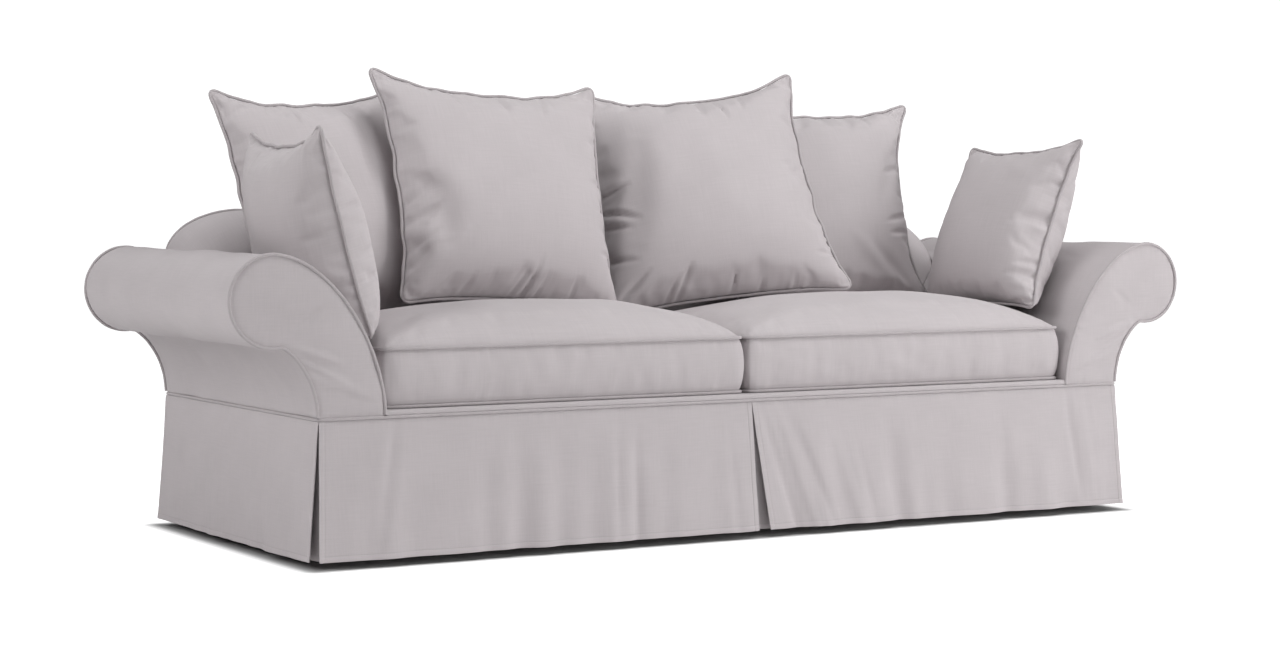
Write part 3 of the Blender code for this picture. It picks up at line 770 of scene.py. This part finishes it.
def hang_panel(node, us, vs, place, relief, turned=False):
    panel = lay_panel(node, us, vs, place, relief, turned)
    mesh = panel.data
    cut = np.empty(len(mesh.loops) * 2, np.float32)
    mesh.uv_layers["UVMap"].data.foreach_get("uv", cut)
    cut = cut.reshape(-1, 2)
    half_wide = np.interp(cut[:, 1], [0, SKIRT_LONG], [np.abs(cut[cut[:, 1] < 1e-5, 0]).max(),
                                                       np.abs(cut[cut[:, 1] > SKIRT_LONG - 1e-5, 0]).max()])
    hems = mesh.uv_layers.new(name="hems")
    off = np.stack([half_wide - np.abs(cut[:, 0]), cut[:, 1]], axis=1)
    hems.data.foreach_set("uv", off.astype(np.float32).ravel())
    return sew_on(panel, node, skirt_cloth)


# Folds: place along the panel as a share of its width, height and width at the hem; then the finer
# ridges that run up from the hem beside them
SKIRT_FOLDS = {
    "front_left": ((0.14, 0.008, 0.045), (0.29, 0.006, 0.050), (0.44, -0.006, 0.030),
                   (0.49, 0.008, 0.030), (0.655, 0.007, 0.045), (0.83, 0.004, 0.060),
                   (0.96, 0.008, 0.040)),
    "front_right": ((0.075, -0.006, 0.025), (0.155, 0.008, 0.035), (0.27, 0.007, 0.035),
                    (0.355, -0.006, 0.030), (0.58, 0.007, 0.040), (0.655, -0.006, 0.025),
                    (0.77, 0.007, 0.035), (0.85, -0.005, 0.030)),
    "side_left": ((0.20, 0.004, 0.070), (0.62, 0.003, 0.080)),
    "side_right": ((0.25, 0.004, 0.070), (0.66, 0.003, 0.080)),
    "back": ((0.18, 0.005, 0.070), (0.42, 0.004, 0.080), (0.71, 0.005, 0.070)),
}

# Narrower folds that fall from the welt of the two front panels, some of them past the hem
SKIRT_CREASES = {
    "front_left": [
        (0.170, 0.28, 0.130, 0.02, 0.018, -0.0055), (0.420, 0.27, 0.415, -0.12, 0.035, 0.0025),
        (0.690, 0.290, 0.675, -0.12, 0.010, -0.0045), (0.712, 0.26, 0.702, -0.12, 0.012, 0.0030),
        (0.735, 0.25, 0.728, -0.12, 0.012, -0.0040), (0.965, 0.22, 0.985, -0.12, 0.016, -0.0035),
    ],
    "front_right": [
        (0.020, 0.28, 0.100, -0.10, 0.014, -0.0050), (0.060, 0.28, 0.150, -0.10, 0.016, 0.0045),
        (0.090, 0.27, 0.205, -0.10, 0.014, -0.0045), (0.200, 0.22, 0.275, -0.10, 0.018, 0.0030),
        (0.262, 0.20, 0.305, -0.10, 0.016, -0.0035), (0.480, 0.23, 0.492, -0.12, 0.035, -0.0025),
        (0.686, 0.22, 0.690, -0.12, 0.026, -0.0025), (0.880, 0.290, 0.905, 0.02, 0.014, -0.0060),
        (0.920, 0.27, 0.940, 0.00, 0.014, 0.0030),
    ],
}
SLIT, FLARE = 0.0006, 0.022

# Each panel: the two ends of its top edge in plan, the way it faces, how far its two sides run along
# the sofa on their way down, the step of its mesh, and whether it is woven the other way round
SKIRT_PLAN = {
    "front_left": ((-WIDE + 0.0026, FRONT), (-SLIT / 2, FRONT), (0, -1), (-0.010, 0.004), 0.0085, False),
    "front_right": ((SLIT / 2, FRONT), (WIDE - 0.0026, FRONT), (0, -1), (0.036, 0.010), 0.0085, False),
    "side_right": ((WIDE, FRONT + SLIT), (WIDE, REAR - SLIT), (1, 0), (0, 0), 0.012, False),
    "side_left": ((-WIDE, FRONT + SLIT), (-WIDE, REAR - SLIT), (-1, 0), (0, 0), 0.012, True),
    "back": ((WIDE - 0.0026, REAR), (-WIDE + 0.0026, REAR), (0, 1), (-0.010, 0.010), 0.013, False),
}
for seed, (name, (start, end, out, slant, step, turned)) in enumerate(SKIRT_PLAN.items()):
    start, end, out = (np.array(p, float) for p in (start, end, out))
    wide = float(np.linalg.norm(end - start))
    ahead = (end - start) / wide

    def place_skirt(u, v):
        share, drop = u / wide, 1 - v / SKIRT_LONG
        swing = FLARE * drop
        for centre, height, width in SKIRT_FOLDS[name]:
            swing = swing + 1.2 * height * np.exp(-(((share - centre) * wide / width) ** 2)) * drop
        along = u + (slant[0] * (1 - share) + slant[1] * share) * drop
        plan = start + ahead * along[..., None] + out * swing[..., None]
        return np.concatenate([plan, v[..., None]], axis=-1)

    def skirt_relief(u, v):
        drop = 1 - v / SKIRT_LONG
        lean = u + 0.02 * wander(80 + seed, 0.6, u) * drop
        ripple = 0.0022 * wander(83 + seed, 0.085, lean) * drop**1.2
        sway = 0.0008 * wander(86 + seed, 0.16, u, v)
        edge = np.minimum(u, wide - u)
        return (ripple + sway * np.minimum(drop * 4, 1) + hem_relief(v) + hem_relief(edge)
                + creases(SKIRT_CREASES.get(name, ()), u, v)
                + seam_pull(SKIRT_LONG - v, u, 89 + seed, 0.0008))

    panel = hang_panel(f"skirt_{name}", side_steps(wide, step), hem_steps(SKIRT_LONG, 0.0095),
                       place_skirt, skirt_relief, turned)

# Backings of the pleats
BACKING_LONG = SKIRT_TOP - 0.0016


def backing_relief_of(seed):
    return lambda u, v: 0.0004 * wander(seed, 0.08, u, v) - 0.0004 + hem_relief(v) * 0.5


def corner_route(inset, reach):
    """Plan line of a strip round the front right corner, from the side to the front."""
    x_face = WIDE - inset
    turn = np.radians(np.linspace(0, 90, 9))
    bend = np.stack([x_face - 0.012 * (1 - np.cos(turn)), inset + 0.012 * (1 - np.sin(turn))], axis=1)
    return np.concatenate([[(x_face, reach)], bend, [(WIDE - reach, inset)]])


corner = corner_route(0.0045, 0.150)
long_corner = arc_length(corner)[-1]
for name, side, at_back in (("front_left", -1, False), ("front_right", 1, False),
                            ("back_left", -1, True), ("back_right", 1, True)):

    def place_backing(u, v):
        point = follow(corner, u)
        behind = follow(corner, np.maximum(u - 0.004, 0))
        ahead = follow(corner, np.minimum(u + 0.004, long_corner)) - behind
        ahead /= np.linalg.norm(ahead, axis=-1, keepdims=True)
        drop = (1 - v / BACKING_LONG)[..., None]
        point = point + np.stack([-ahead[..., 1], ahead[..., 0]], axis=-1) * 0.006 * drop
        y = DEEP - point[..., 1] if at_back else point[..., 1]
        return np.stack([side * point[..., 0], FRONT + y, v], axis=-1)

    flipped = (side < 0) == at_back
    panel = hang_panel(f"pleat_backing_{name}", steps(long_corner, 0.011), hem_steps(BACKING_LONG, 0.016),
                       place_backing, backing_relief_of(95 + side), flipped)


def place_centre_backing(u, v):
    y = FRONT + 0.0045 - 0.006 * (1 - v / BACKING_LONG)
    return np.stack([u - 0.150, y, v], axis=-1)


panel = hang_panel("pleat_backing_centre", steps(0.300, 0.011), hem_steps(BACKING_LONG, 0.016),
                   place_centre_backing, backing_relief_of(97))


# ---------------------------------------------------------------- welts of the cover
# Cotton cord 5 mm thick, wrapped in bias-cut strips of the same cloth and caught in the seams: round
# both arm fronts, round the outside back, and round the whole cover at the top of the skirt.
# The cords' cloth is painted about a tenth darker than the same cloth of the panels: painted shade along
# the seams
welt_cloth = woven_cloth("welt_cloth", (0.425, 0.393, 0.402), turn=math.radians(45))
WELT = 0.0035


def lay_cord(node, route, plane, closed=False, gap=0.007, sides=10, seed=0):
    """A covered cord along a route that lies in one plane."""
    line = np.concatenate([route, route[:1]]) if closed else route
    total = arc_length(line)[-1]
    at = np.linspace(0, total, round(total / gap) + 1)
    path = follow(line, at)
    ahead = np.gradient(path, axis=0)
    if closed:
        ahead[0] = ahead[-1] = path[1] - path[-2]
    ahead /= np.linalg.norm(ahead, axis=1, keepdims=True)
    plane = np.array(plane, float)
    aside = np.cross(plane, ahead)

    def waves(long, shift):
        """Even waves of about this length along the cord, a whole number of them."""
        return np.sin(at * math.tau / total * round(total / long) + shift)

    sway = 0.0003 * waves(0.11, seed) + 0.0002 * waves(0.043, 2 * seed)
    path = path + aside * (sway if closed else sway * 0.6)[:, None]
    turn = -np.linspace(0, math.tau, sides + 1)[:, None]
    thick = WELT * (0.985 + 0.025 * waves(0.031, 3 * seed))
    ring = np.cos(turn)[..., None] * aside[None] + np.sin(turn)[..., None] * plane
    face = path[None] + ring * thick[None, :, None]
    piece = weave_grid(node + "_cord", face, at[None, :], -turn * WELT)
    bpy.ops.object.mode_set(mode="EDIT")
    bpy.ops.mesh.select_all(action="SELECT")
    bpy.ops.mesh.remove_doubles(threshold=0.00002)
    if not closed:
        bpy.ops.mesh.fill_holes(sides=sides + 2)
    bpy.ops.object.mode_set(mode="OBJECT")
    finish_mesh(piece, 60)
    return piece


def upright(line, side, y):
    return np.stack([side * line[:, 0], np.full(len(line), y), line[:, 1]], axis=1)


for side, hand in ((-1, "left"), (1, "right")):
    cord = lay_cord(f"welt_arm_{hand}", upright(arm_line, side, FRONT + 0.001), (0, 1, 0), seed=side)
    sew_on(cord, f"welt_arm_{hand}", welt_cloth)
cord = lay_cord("welt_back", upright(back_line, 1, REAR - 0.001), (0, 1, 0), seed=2)
sew_on(cord, "welt_back", welt_cloth)

skirt_line = []
for x_sign, y_sign, start in ((1, -1, -90), (1, 1, 0), (-1, 1, 90), (-1, -1, 180)):
    for degrees in np.linspace(start, start + 90, 7):
        turn = math.radians(degrees)
        skirt_line.append((x_sign * (WIDE - 0.007) + 0.006 * math.cos(turn),
                           y_sign * (DEEP / 2 - 0.007) + 0.006 * math.sin(turn), SKIRT_TOP))
cord = lay_cord("welt_skirt", np.array(skirt_line), (0, 0, 1), closed=True, seed=5)
sew_on(cord, "welt_skirt", welt_cloth)


# ---------------------------------------------------------------- seat cushions
# Two boxed cushions, foam wrapped in fibre: a top and a bottom panel with a border strip sewn
# between them, a covered cord in both seams, and a full crown on top.
seat_cloth = woven_cloth("seat_cloth", (0.485, 0.449, 0.459))
SEAT_LOW, SEAT_HIGH = 0.302, 0.4205
SEAT_INNER, SEAT_OUTER = 0.0045, 0.878
SEAT_HALF = np.array([0.43675, 0.2975])
SEAT_CROWN, SEAT_PRESSED, SEAT_BULGE = 0.0845, 0.35, 0.009
SEAT_Y = FRONT + 0.3185


def seat_plan(a, b, inset):
    """A point of the seat cushion's rounded plan, about its centre."""
    corner = 0.007 * np.abs(a * b) ** 24
    x = (SEAT_HALF[0] - inset) * a - np.copysign(corner, a)
    y = (SEAT_HALF[1] - inset) * b - np.copysign(corner, b)
    return x, y


def closer_at_seams(count, blend=0.6):
    """Steps from -1 to 1 that lie closer together at both ends."""
    t = np.linspace(-1, 1, count + 1)
    return blend * np.sin(t * math.pi / 2) + (1 - blend) * t


def join_cloth(pieces, name):
    """Sews panels whose edges meet, and which all face outwards, into one closed cover."""
    bpy.ops.object.select_all(action="DESELECT")
    for piece in pieces:
        piece.select_set(True)
    bpy.context.view_layer.objects.active = pieces[0]
    bpy.ops.object.join()
    bpy.ops.object.mode_set(mode="EDIT")
    bpy.ops.mesh.select_all(action="SELECT")
    bpy.ops.mesh.remove_doubles(threshold=0.00005)
    bpy.ops.object.mode_set(mode="OBJECT")
    pieces[0].name = pieces[0].data.name = name
    return pieces[0]


def points_of(mesh, kind="vertices", name="co"):
    values = np.empty(len(mesh.vertices) * 3, np.float32)
    getattr(mesh, kind).foreach_get(name, values)
    return values.reshape(-1, 3).astype(float)


def puff(cushions, seams, slack, most_out, most_in):
    """The filling presses each cover out from its seams: a short cloth run, of which a point may
    only follow a limited way."""
    for cushion, seam in zip(cushions, seams):
        held = cushion.vertex_groups.new(name="seam")
        held.add([int(i) for i in seam], 1.0, "REPLACE")
        filling = cushion.modifiers.new("filling", "CLOTH")
        cloth = filling.settings
        cloth.quality = 6
        cloth.mass = 0.25
        cloth.tension_stiffness = 12
        cloth.compression_stiffness = 12
        cloth.shear_stiffness = 4
        cloth.bending_stiffness = 0.25
        cloth.use_pressure = True
        cloth.uniform_pressure_force = 4
        cloth.shrink_min = -slack
        cloth.vertex_group_mass = "seam"
        cloth.effector_weights.gravity = 0
        filling.collision_settings.use_collision = False
        filling.point_cache.frame_start = 1
        filling.point_cache.frame_end = 20
    scene = bpy.context.scene
    for frame_number in range(1, 21):
        scene.frame_set(frame_number)
    seen = bpy.context.evaluated_depsgraph_get()
    for cushion in cushions:
        cut = points_of(cushion.data)
        normal = points_of(cushion.data, "vertex_normals", "vector")
        moved = points_of(cushion.evaluated_get(seen).data) - cut
        out = (moved * normal).sum(axis=1, keepdims=True)
        slide = moved - normal * out
        slide *= np.minimum(1, 0.006 / np.maximum(np.linalg.norm(slide, axis=1, keepdims=True), 1e-9))
        out = np.where(out > 0, most_out * np.tanh(out / most_out), most_in * np.tanh(out / most_in))
        cushion.modifiers.clear()
        cushion.vertex_groups.clear()
        cushion.data.vertices.foreach_set("co", (cut + slide + normal * out).astype(np.float32).ravel())
    scene.frame_set(1)


def round_off(cushion):
    """One finer subdivision of the cover."""
    smooth = cushion.modifiers.new("smooth", "SUBSURF")
    smooth.levels = smooth.render_levels = 1
    apply_modifiers(cushion)


seats, seat_seams = [], []
A_STEPS, B_STEPS = 72, 50
for side, hand in ((-1, "left"), (1, "right")):
    ta, tb = closer_at_seams(A_STEPS), closer_at_seams(B_STEPS)
    a, b = np.meshgrid(ta, tb)
    x, y = seat_plan(a, b, TUCK - 0.0010)
    dome = (np.clip(1 - np.abs(a) ** 2.5, 0, 1) * np.clip(1 - np.abs(b) ** 2.5, 0, 1)) ** 0.45
    pressed = 1 - SEAT_PRESSED * np.maximum(b + 0.25, 0)
    top = np.stack([x, y, SEAT_HIGH + SEAT_CROWN * dome * pressed], axis=-1)
    low = np.stack([x, y, SEAT_LOW - 0.0036 * np.minimum(dome * 4, 1)], axis=-1)
    rim_a = np.concatenate([ta[:-1], np.ones(B_STEPS), -ta[:-1], -np.ones(B_STEPS), ta[:1]])
    rim_b = np.concatenate([-np.ones(A_STEPS), tb[:-1], np.ones(A_STEPS), -tb[:-1], tb[:1]])
    rows = np.linspace(-1, 1, 9)[:, None]
    x, y = seat_plan(rim_a, rim_b, TUCK - 0.0010)
    z = SEAT_LOW + (SEAT_HIGH - SEAT_LOW) * (rows + 1) / 2
    bulge = SEAT_BULGE * (1 - rows**2)
    push_x = np.sign(rim_a) * np.clip((np.abs(rim_a) - 0.995) / 0.005, 0, 1)
    push_y = np.sign(rim_b) * np.clip((np.abs(rim_b) - 0.995) / 0.005, 0, 1)
    border = np.stack([x + bulge * push_x, y + bulge * push_y, z + 0 * x], axis=-1)
    long_rim = arc_length(border[0])
    parts = [
        weave_grid("top", top, top[..., 0], top[..., 1]),
        weave_grid("low", low, low[..., 0], low[..., 1], True),
        weave_grid("border", border, long_rim[None], z),
    ]
    seat = join_cloth(parts, f"seat_cushion_{hand}_cushion")
    co = points_of(seat.data)
    at_seam = (np.abs(co[:, 2] - SEAT_HIGH) < 1e-4) | (co[:, 2] <= SEAT_LOW + 1e-4)
    seats.append(seat)
    seat_seams.append(np.nonzero(at_seam)[0])

puff(seats, seat_seams, 0.012, 0.0025, 0.006)
SEAT_FOLDS = [
    (-0.40, -0.26, -0.25, -0.12, 0.030, -0.0020), (0.41, -0.27, 0.28, -0.14, 0.030, -0.0022),
    (-0.10, -0.29, -0.06, -0.20, 0.022, 0.0012), (0.16, -0.29, 0.13, -0.19, 0.020, -0.0012),
]
for (side, hand), seat in zip(((-1, "left"), (1, "right")), seats):
    round_off(seat)
    co = points_of(seat.data)
    normal = points_of(seat.data, "vertex_normals", "vector")
    rim = np.stack(seat_plan(rim_a[:-1], rim_b[:-1], TUCK - 0.0010), axis=1)
    off, along = off_line(co[:, 0], co[:, 1], rim)
    on_top = co[:, 2] > SEAT_HIGH + 0.0005
    on_border = (co[:, 2] < SEAT_HIGH - 0.0005) & (co[:, 2] > SEAT_LOW + 0.0005)
    up = np.minimum(SEAT_HIGH - co[:, 2], co[:, 2] - SEAT_LOW)
    climb = np.where(on_top, np.hypot(off, co[:, 2] - SEAT_HIGH), 0)
    relief = np.where(
        on_top,
        seam_pull(climb, along, 101 + side, 0.0010) + creases(SEAT_FOLDS, side * co[:, 0], co[:, 1])
        + 0.0022 * wander(103 + side, 0.22, co[:, 0], co[:, 1]) * np.minimum(climb / 0.05, 1),
        0,
    )
    border_wave = 0.0008 * wander(105 + side, 0.110, along)
    border_wave += 0.0007 * wander(107 + side, 0.05, along, co[:, 2])
    border_wave *= np.clip(up / 0.02, 0, 1)
    relief += np.where(on_border, border_wave + seam_pull(up, along, 109 + side, 0.0010), 0)
    co += normal * relief[:, None]
    centre = side * (SEAT_INNER + SEAT_OUTER) / 2
    seat.data.vertices.foreach_set("co", (co + (centre, SEAT_Y, 0)).astype(np.float32).ravel())
    seat.data.update()
    finish_mesh(seat, 60)
    sew_on(seat, f"seat_cushion_{hand}", seat_cloth)
    for level, height in (("top", SEAT_HIGH), ("bottom", SEAT_LOW)):
        x, y = seat_plan(rim_a[:-1], rim_b[:-1], 0)
        line = np.stack([x + centre, y + SEAT_Y, np.full(len(x), height)], axis=1)
        cord = lay_cord(f"welt_seat_{hand}_{level}", line, (0, 0, 1), closed=True, seed=7 + side)
        sew_on(cord, f"welt_seat_{hand}_{level}", welt_cloth)


# ---------------------------------------------------------------- back and throw cushions
# Knife-edge cushions filled with loose fibre: two square panels with a covered cord in the seam. The
# filling leaves the corners slack, so that the sides and the top pull in between rounded ears. Four
# large ones lean on the back and on each other, and a small one leans on each arm.
CUSHION_COLUMNS = ("name", "centre", "lean", "turn", "tilt", "wide", "high", "front", "rear", "spread",
                   "left", "right", "top", "squeeze")
CUSHIONS = (
    ("back_cushion_far_left", (-0.736, 0.6005, 0.7124), 16, 12.5, -2.4, 0.544, 0.552, 0.105, 0.085,
     0.03, 0.14, 0.14, 0.18, 0.25),
    ("back_cushion_front_left", (-0.3575, 0.5165, 0.7438), 18.5, 4, 3.4, 0.583, 0.553, 0.105, 0.085,
     -0.03, 0.13, 0.06, 0.185, 0.00),
    ("back_cushion_front_right", (0.233, 0.5530, 0.7405), 21, -17.7, -6.5, 0.579, 0.571, 0.105, 0.085,
     0.065, 0.03, 0.14, 0.20, 0.00),
    ("back_cushion_far_right", (0.607, 0.6108, 0.7097), 17, -6.5, 0, 0.556, 0.531, 0.105, 0.085,
     -0.02, 0.10, 0.21, 0.16, 0.00),
    ("throw_cushion_left", (-0.933, 0.2600, 0.6553), 14, 88, 1, 0.410, 0.447, 0.102, 0.112,
     0.00, 0.10, 0.10, 0.19, 0.00),
    ("throw_cushion_right", (0.918, 0.2885, 0.6590), 21.4, -90, -2.3, 0.419, 0.430, 0.100, 0.115,
     -0.02, 0.10, 0.14, 0.14, 0.00),
)

# Where an arm presses the back face of a throw cushion flat: the depth that is left at the foot, and
# how much that grows up to the middle
ARM_PRESS = {"throw_cushion_left": (0.034, 0.125), "throw_cushion_right": (0.072, 0.075)}
CUSHION_SEEDS = {values[0]: 140 + 2 * number for number, values in enumerate(CUSHIONS)}
back_cloth = woven_cloth("back_cloth", (0.485, 0.449, 0.459))
throw_cloth = woven_cloth("throw_cloth", (0.485, 0.449, 0.459))

# Short pulls that start at a cushion's welt, across and up its face in metres, and longer soft dents
CUSHION_FOLDS = {
    "back_cushion_far_left": [
        (-0.06, 0.23, -0.08, 0.17, 0.010, -0.0060), (-0.07, 0.22, -0.12, 0.19, 0.008, -0.0045),
        (0.06, 0.23, 0.07, 0.18, 0.010, -0.0050), (0.08, 0.20, 0.06, 0.00, 0.030, -0.0080),
        (0.02, 0.18, 0.00, 0.03, 0.030, 0.0040), (-0.14, 0.24, -0.14, 0.18, 0.010, -0.0025),
    ],
    "back_cushion_front_left": [
        (-0.22, 0.02, -0.18, -0.15, 0.055, -0.0160), (-0.27, -0.07, -0.21, -0.01, 0.012, -0.0060),
        (-0.27, -0.11, -0.19, -0.06, 0.012, -0.0060), (-0.26, -0.17, -0.20, -0.12, 0.011, -0.0050),
        (-0.28, -0.27, -0.14, -0.13, 0.022, 0.0065), (-0.28, -0.22, -0.21, -0.15, 0.012, -0.0050),
        (-0.02, -0.28, 0.02, -0.20, 0.008, -0.0055), (0.01, -0.28, 0.05, -0.18, 0.008, -0.0065),
        (0.05, -0.28, 0.07, -0.21, 0.007, -0.0040), (0.15, -0.28, 0.15, -0.22, 0.007, -0.0040),
        (-0.15, -0.28, -0.12, -0.22, 0.011, -0.0045), (-0.12, 0.24, -0.09, 0.17, 0.010, -0.0045),
        (0.02, 0.23, 0.02, 0.16, 0.010, -0.0045), (0.14, 0.23, 0.11, 0.16, 0.010, -0.0045),
        (0.29, 0.02, 0.21, 0.01, 0.008, -0.0045), (0.29, -0.04, 0.22, -0.06, 0.008, -0.0045),
        (0.29, -0.16, 0.22, -0.16, 0.009, -0.0045), (0.19, 0.17, 0.02, -0.02, 0.050, -0.0040),
    ],
    "back_cushion_front_right": [
        (-0.29, 0.00, -0.21, 0.02, 0.010, -0.0090), (-0.29, -0.03, -0.20, -0.07, 0.010, -0.0090),
        (-0.29, -0.07, -0.22, -0.09, 0.009, -0.0060), (-0.29, -0.16, -0.22, -0.17, 0.009, -0.0060),
        (-0.28, -0.26, -0.20, -0.20, 0.011, -0.0070), (-0.14, -0.28, -0.10, -0.20, 0.009, -0.0080),
        (-0.17, -0.28, -0.13, -0.22, 0.008, -0.0050), (0.00, -0.28, 0.01, -0.22, 0.007, -0.0070),
        (0.07, -0.29, 0.08, -0.24, 0.007, -0.0050), (0.16, -0.29, 0.16, -0.24, 0.007, -0.0045),
        (0.05, 0.22, 0.07, 0.15, 0.007, -0.0060), (0.01, 0.23, 0.01, 0.17, 0.009, -0.0035),
        (0.12, 0.24, 0.11, 0.18, 0.009, -0.0045), (0.24, 0.02, 0.18, 0.00, 0.008, -0.0045),
        (0.28, -0.20, 0.22, -0.20, 0.009, -0.0050), (-0.16, 0.14, -0.22, -0.14, 0.050, -0.0070),
        (-0.02, 0.12, 0.05, -0.13, 0.060, 0.0035),
    ],
    "back_cushion_far_right": [
        (0.21, 0.08, 0.14, 0.06, 0.011, -0.0060), (0.20, -0.05, 0.12, -0.07, 0.009, -0.0065),
        (0.20, -0.09, 0.13, -0.10, 0.009, -0.0055), (0.08, -0.13, 0.20, -0.23, 0.022, -0.0040),
        (0.02, -0.10, 0.12, -0.19, 0.024, 0.0030), (0.14, 0.24, 0.13, 0.18, 0.010, -0.0035),
        (0.21, 0.14, 0.11, -0.02, 0.030, -0.0050), (-0.06, -0.17, 0.30, -0.17, 0.110, -0.0100),
    ],
    "throw_cushion_left": [
        (0.06, 0.21, 0.05, 0.13, 0.010, -0.0050), (-0.02, 0.21, -0.03, 0.12, 0.009, -0.0055),
        (-0.09, 0.21, -0.08, 0.14, 0.009, -0.0050), (0.12, 0.21, 0.10, 0.14, 0.009, -0.0040),
        (-0.20, 0.05, -0.12, 0.03, 0.012, -0.0045), (-0.20, -0.06, -0.12, -0.05, 0.012, -0.0045),
        (-0.21, -0.12, -0.13, -0.10, 0.010, -0.0040), (0.02, 0.12, -0.02, -0.06, 0.030, -0.0050),
    ],
    "throw_cushion_right": [
        (0.22, 0.03, 0.13, -0.02, 0.017, -0.0060), (0.21, -0.03, 0.16, -0.02, 0.014, 0.0030),
        (0.21, -0.13, 0.14, -0.15, 0.012, -0.0050), (0.22, -0.17, 0.15, -0.17, 0.012, 0.0030),
        (0.21, -0.09, 0.16, -0.12, 0.010, -0.0050), (0.22, 0.11, 0.17, 0.09, 0.010, -0.0045),
        (0.22, -0.20, 0.14, -0.21, 0.010, -0.0055), (0.04, 0.14, 0.13, 0.10, 0.030, 0.0025),
        (-0.02, 0.21, -0.02, 0.14, 0.009, -0.0040), (-0.10, 0.21, -0.09, 0.15, 0.009, -0.0035),
    ],
}


def round_ear(a, b, row):
    """Rounds the corners of the square from -1 to 1."""
    radius = 0.018 if "throw" in row["name"] else 0.024
    reach_a, reach_b = 2 * radius / row["wide"], 2 * radius / row["high"]
    s = np.maximum((np.abs(a) - 1) / reach_a + 1, 0)
    t = np.maximum((np.abs(b) - 1) / reach_b + 1, 0)
    a_in = reach_a * s * (1 - np.sqrt(1 - t * t / 2))
    b_in = reach_b * t * (1 - np.sqrt(1 - s * s / 2))
    return a - np.copysign(a_in, a), b - np.copysign(b_in, b)


def cushion_plan(a, b, row):
    """A point of the drawn-in face, about its centre; its sides and top are a little wavy."""
    a, b = round_ear(a, b, row)
    across = row["wide"] / 2 * a * (1 - row["spread"] * b)
    across = np.where(a < 0, across * (1 - row["squeeze"] * ((1 - b) / 2) ** 4), across)
    drawn = np.where(a < 0, row["left"], row["right"])
    x = across * (1 - drawn * (1 - np.abs(b) ** 3) * a * a)
    drawn = np.where(b > 0, row["top"], 0.07)
    z = row["high"] / 2 * b * (1 - drawn * (1 - np.abs(a) ** 3) * b * b)
    seed = CUSHION_SEEDS[row["name"]]
    sway_x = 0.0020 * wander(seed, 0.09, z + 3 * np.sign(a)) * np.abs(a) ** 6 * (1 - b**4)
    sway_z = 0.0022 * wander(seed + 1, 0.09, x) * np.maximum(b, 0) ** 6 * (1 - a**4)
    return np.stack([x + sway_x, z + sway_z], axis=-1)


# The cloth run and the smoothing draw the rim in and add to the depth, so both start off by this much
RIM_START, DEPTH_START = 1.009, 0.975
CUSHION_STEPS = 62
cushions, seams, rows_of = [], [], []
for values in CUSHIONS:
    row = dict(zip(CUSHION_COLUMNS, values))
    throw = "throw" in row["name"]
    t = closer_at_seams(CUSHION_STEPS)
    a, b = np.meshgrid(t, t)
    plan = cushion_plan(a, b, row) * RIM_START

    def crown(sunk):
        """The rise of a face from its seam; the filling has sunk towards the foot."""
        low = b + sunk * (1 - b * b)
        plump = (0.50 if throw else 0.55) - 0.07 * np.clip(-b, 0, 1)
        return (np.clip(1 - a * a, 0, 1) * np.clip(1 - low * low, 0, 1)) ** plump

    front, rear = row["front"] * crown(0.18), row["rear"] * crown(0 if throw else 0.18)
    if throw:
        foot, rise = ARM_PRESS[row["name"]]
        pressed = foot + rise * (1 + b) ** 2
        rear = rear * pressed / (rear**6 + pressed**6) ** (1 / 6)
    faces = []
    for sign, depth in ((-1, front), (1, rear)):
        face = np.stack([plan[..., 0], sign * DEPTH_START * depth, plan[..., 1]], axis=-1)
        faces.append(weave_grid("face", face, plan[..., 0], plan[..., 1], sign > 0))
    cushion = join_cloth(faces, row["name"] + "_filled")
    seams.append(np.nonzero(np.abs(points_of(cushion.data)[:, 1]) < 1e-5)[0])
    cushions.append(cushion)
    rows_of.append(row)

puff(cushions, seams, 0.030, 0.0030, 0.012)
for number, (cushion, row) in enumerate(zip(cushions, rows_of)):
    round_off(cushion)
    t = closer_at_seams(CUSHION_STEPS, 0.3)[:-1]
    one = np.ones(len(t))
    rim = cushion_plan(np.concatenate([t, one, -t, -one]), np.concatenate([-one, t, one, -t]), row)
    co = points_of(cushion.data)
    normal = points_of(cushion.data, "vertex_normals", "vector")
    off, along = off_line(co[:, 0], co[:, 2], rim)
    climb = np.hypot(off, co[:, 1])
    relief = seam_pull(climb, along, 120 + number, 0.0020)
    relief += 0.0016 * wander(130 + number, 0.19, *co.T) * np.minimum(climb / 0.04, 1)
    relief += np.where(co[:, 1] < 0, creases(CUSHION_FOLDS[row["name"]], co[:, 0], co[:, 2]), 0)
    co += normal * (relief * np.minimum(climb / 0.007, 1))[:, None]
    lay = Euler([math.radians(v) for v in (-row["lean"], row["tilt"], row["turn"])], "YXZ").to_matrix()
    place = np.array(row["centre"]) + (0, FRONT, 0)
    turn = np.array(lay)
    cushion.data.vertices.foreach_set("co", (co @ turn.T + place).astype(np.float32).ravel())
    cushion.data.update()
    finish_mesh(cushion, 70)
    slot, cloth = ("throw_cloth", throw_cloth) if "throw" in row["name"] else ("back_cloth", back_cloth)
    sew_on(cushion, row["name"], cloth)

    # The welt follows the seam, with its small bends eased
    line = offset_line(rim, -TUCK, closed=True)
    around = np.concatenate([line, line[:1]])
    total = arc_length(around)[-1]
    line = follow(around, np.linspace(0, total, 401)[:-1])
    spread = np.exp(-((np.arange(-12, 13) * total / 400 / 0.005) ** 2) / 2)
    spread /= spread.sum()
    line = sum(w * np.roll(line, k - 12, axis=0) for k, w in enumerate(spread))
    line = np.stack([line[:, 0], np.zeros(len(line)), line[:, 1]], axis=1)
    cord = lay_cord("welt_" + row["name"], line @ turn.T + place, turn @ (0, 1, 0), closed=True, gap=0.006,
                    seed=11 + number)
    sew_on(cord, "welt_" + row["name"], welt_cloth)
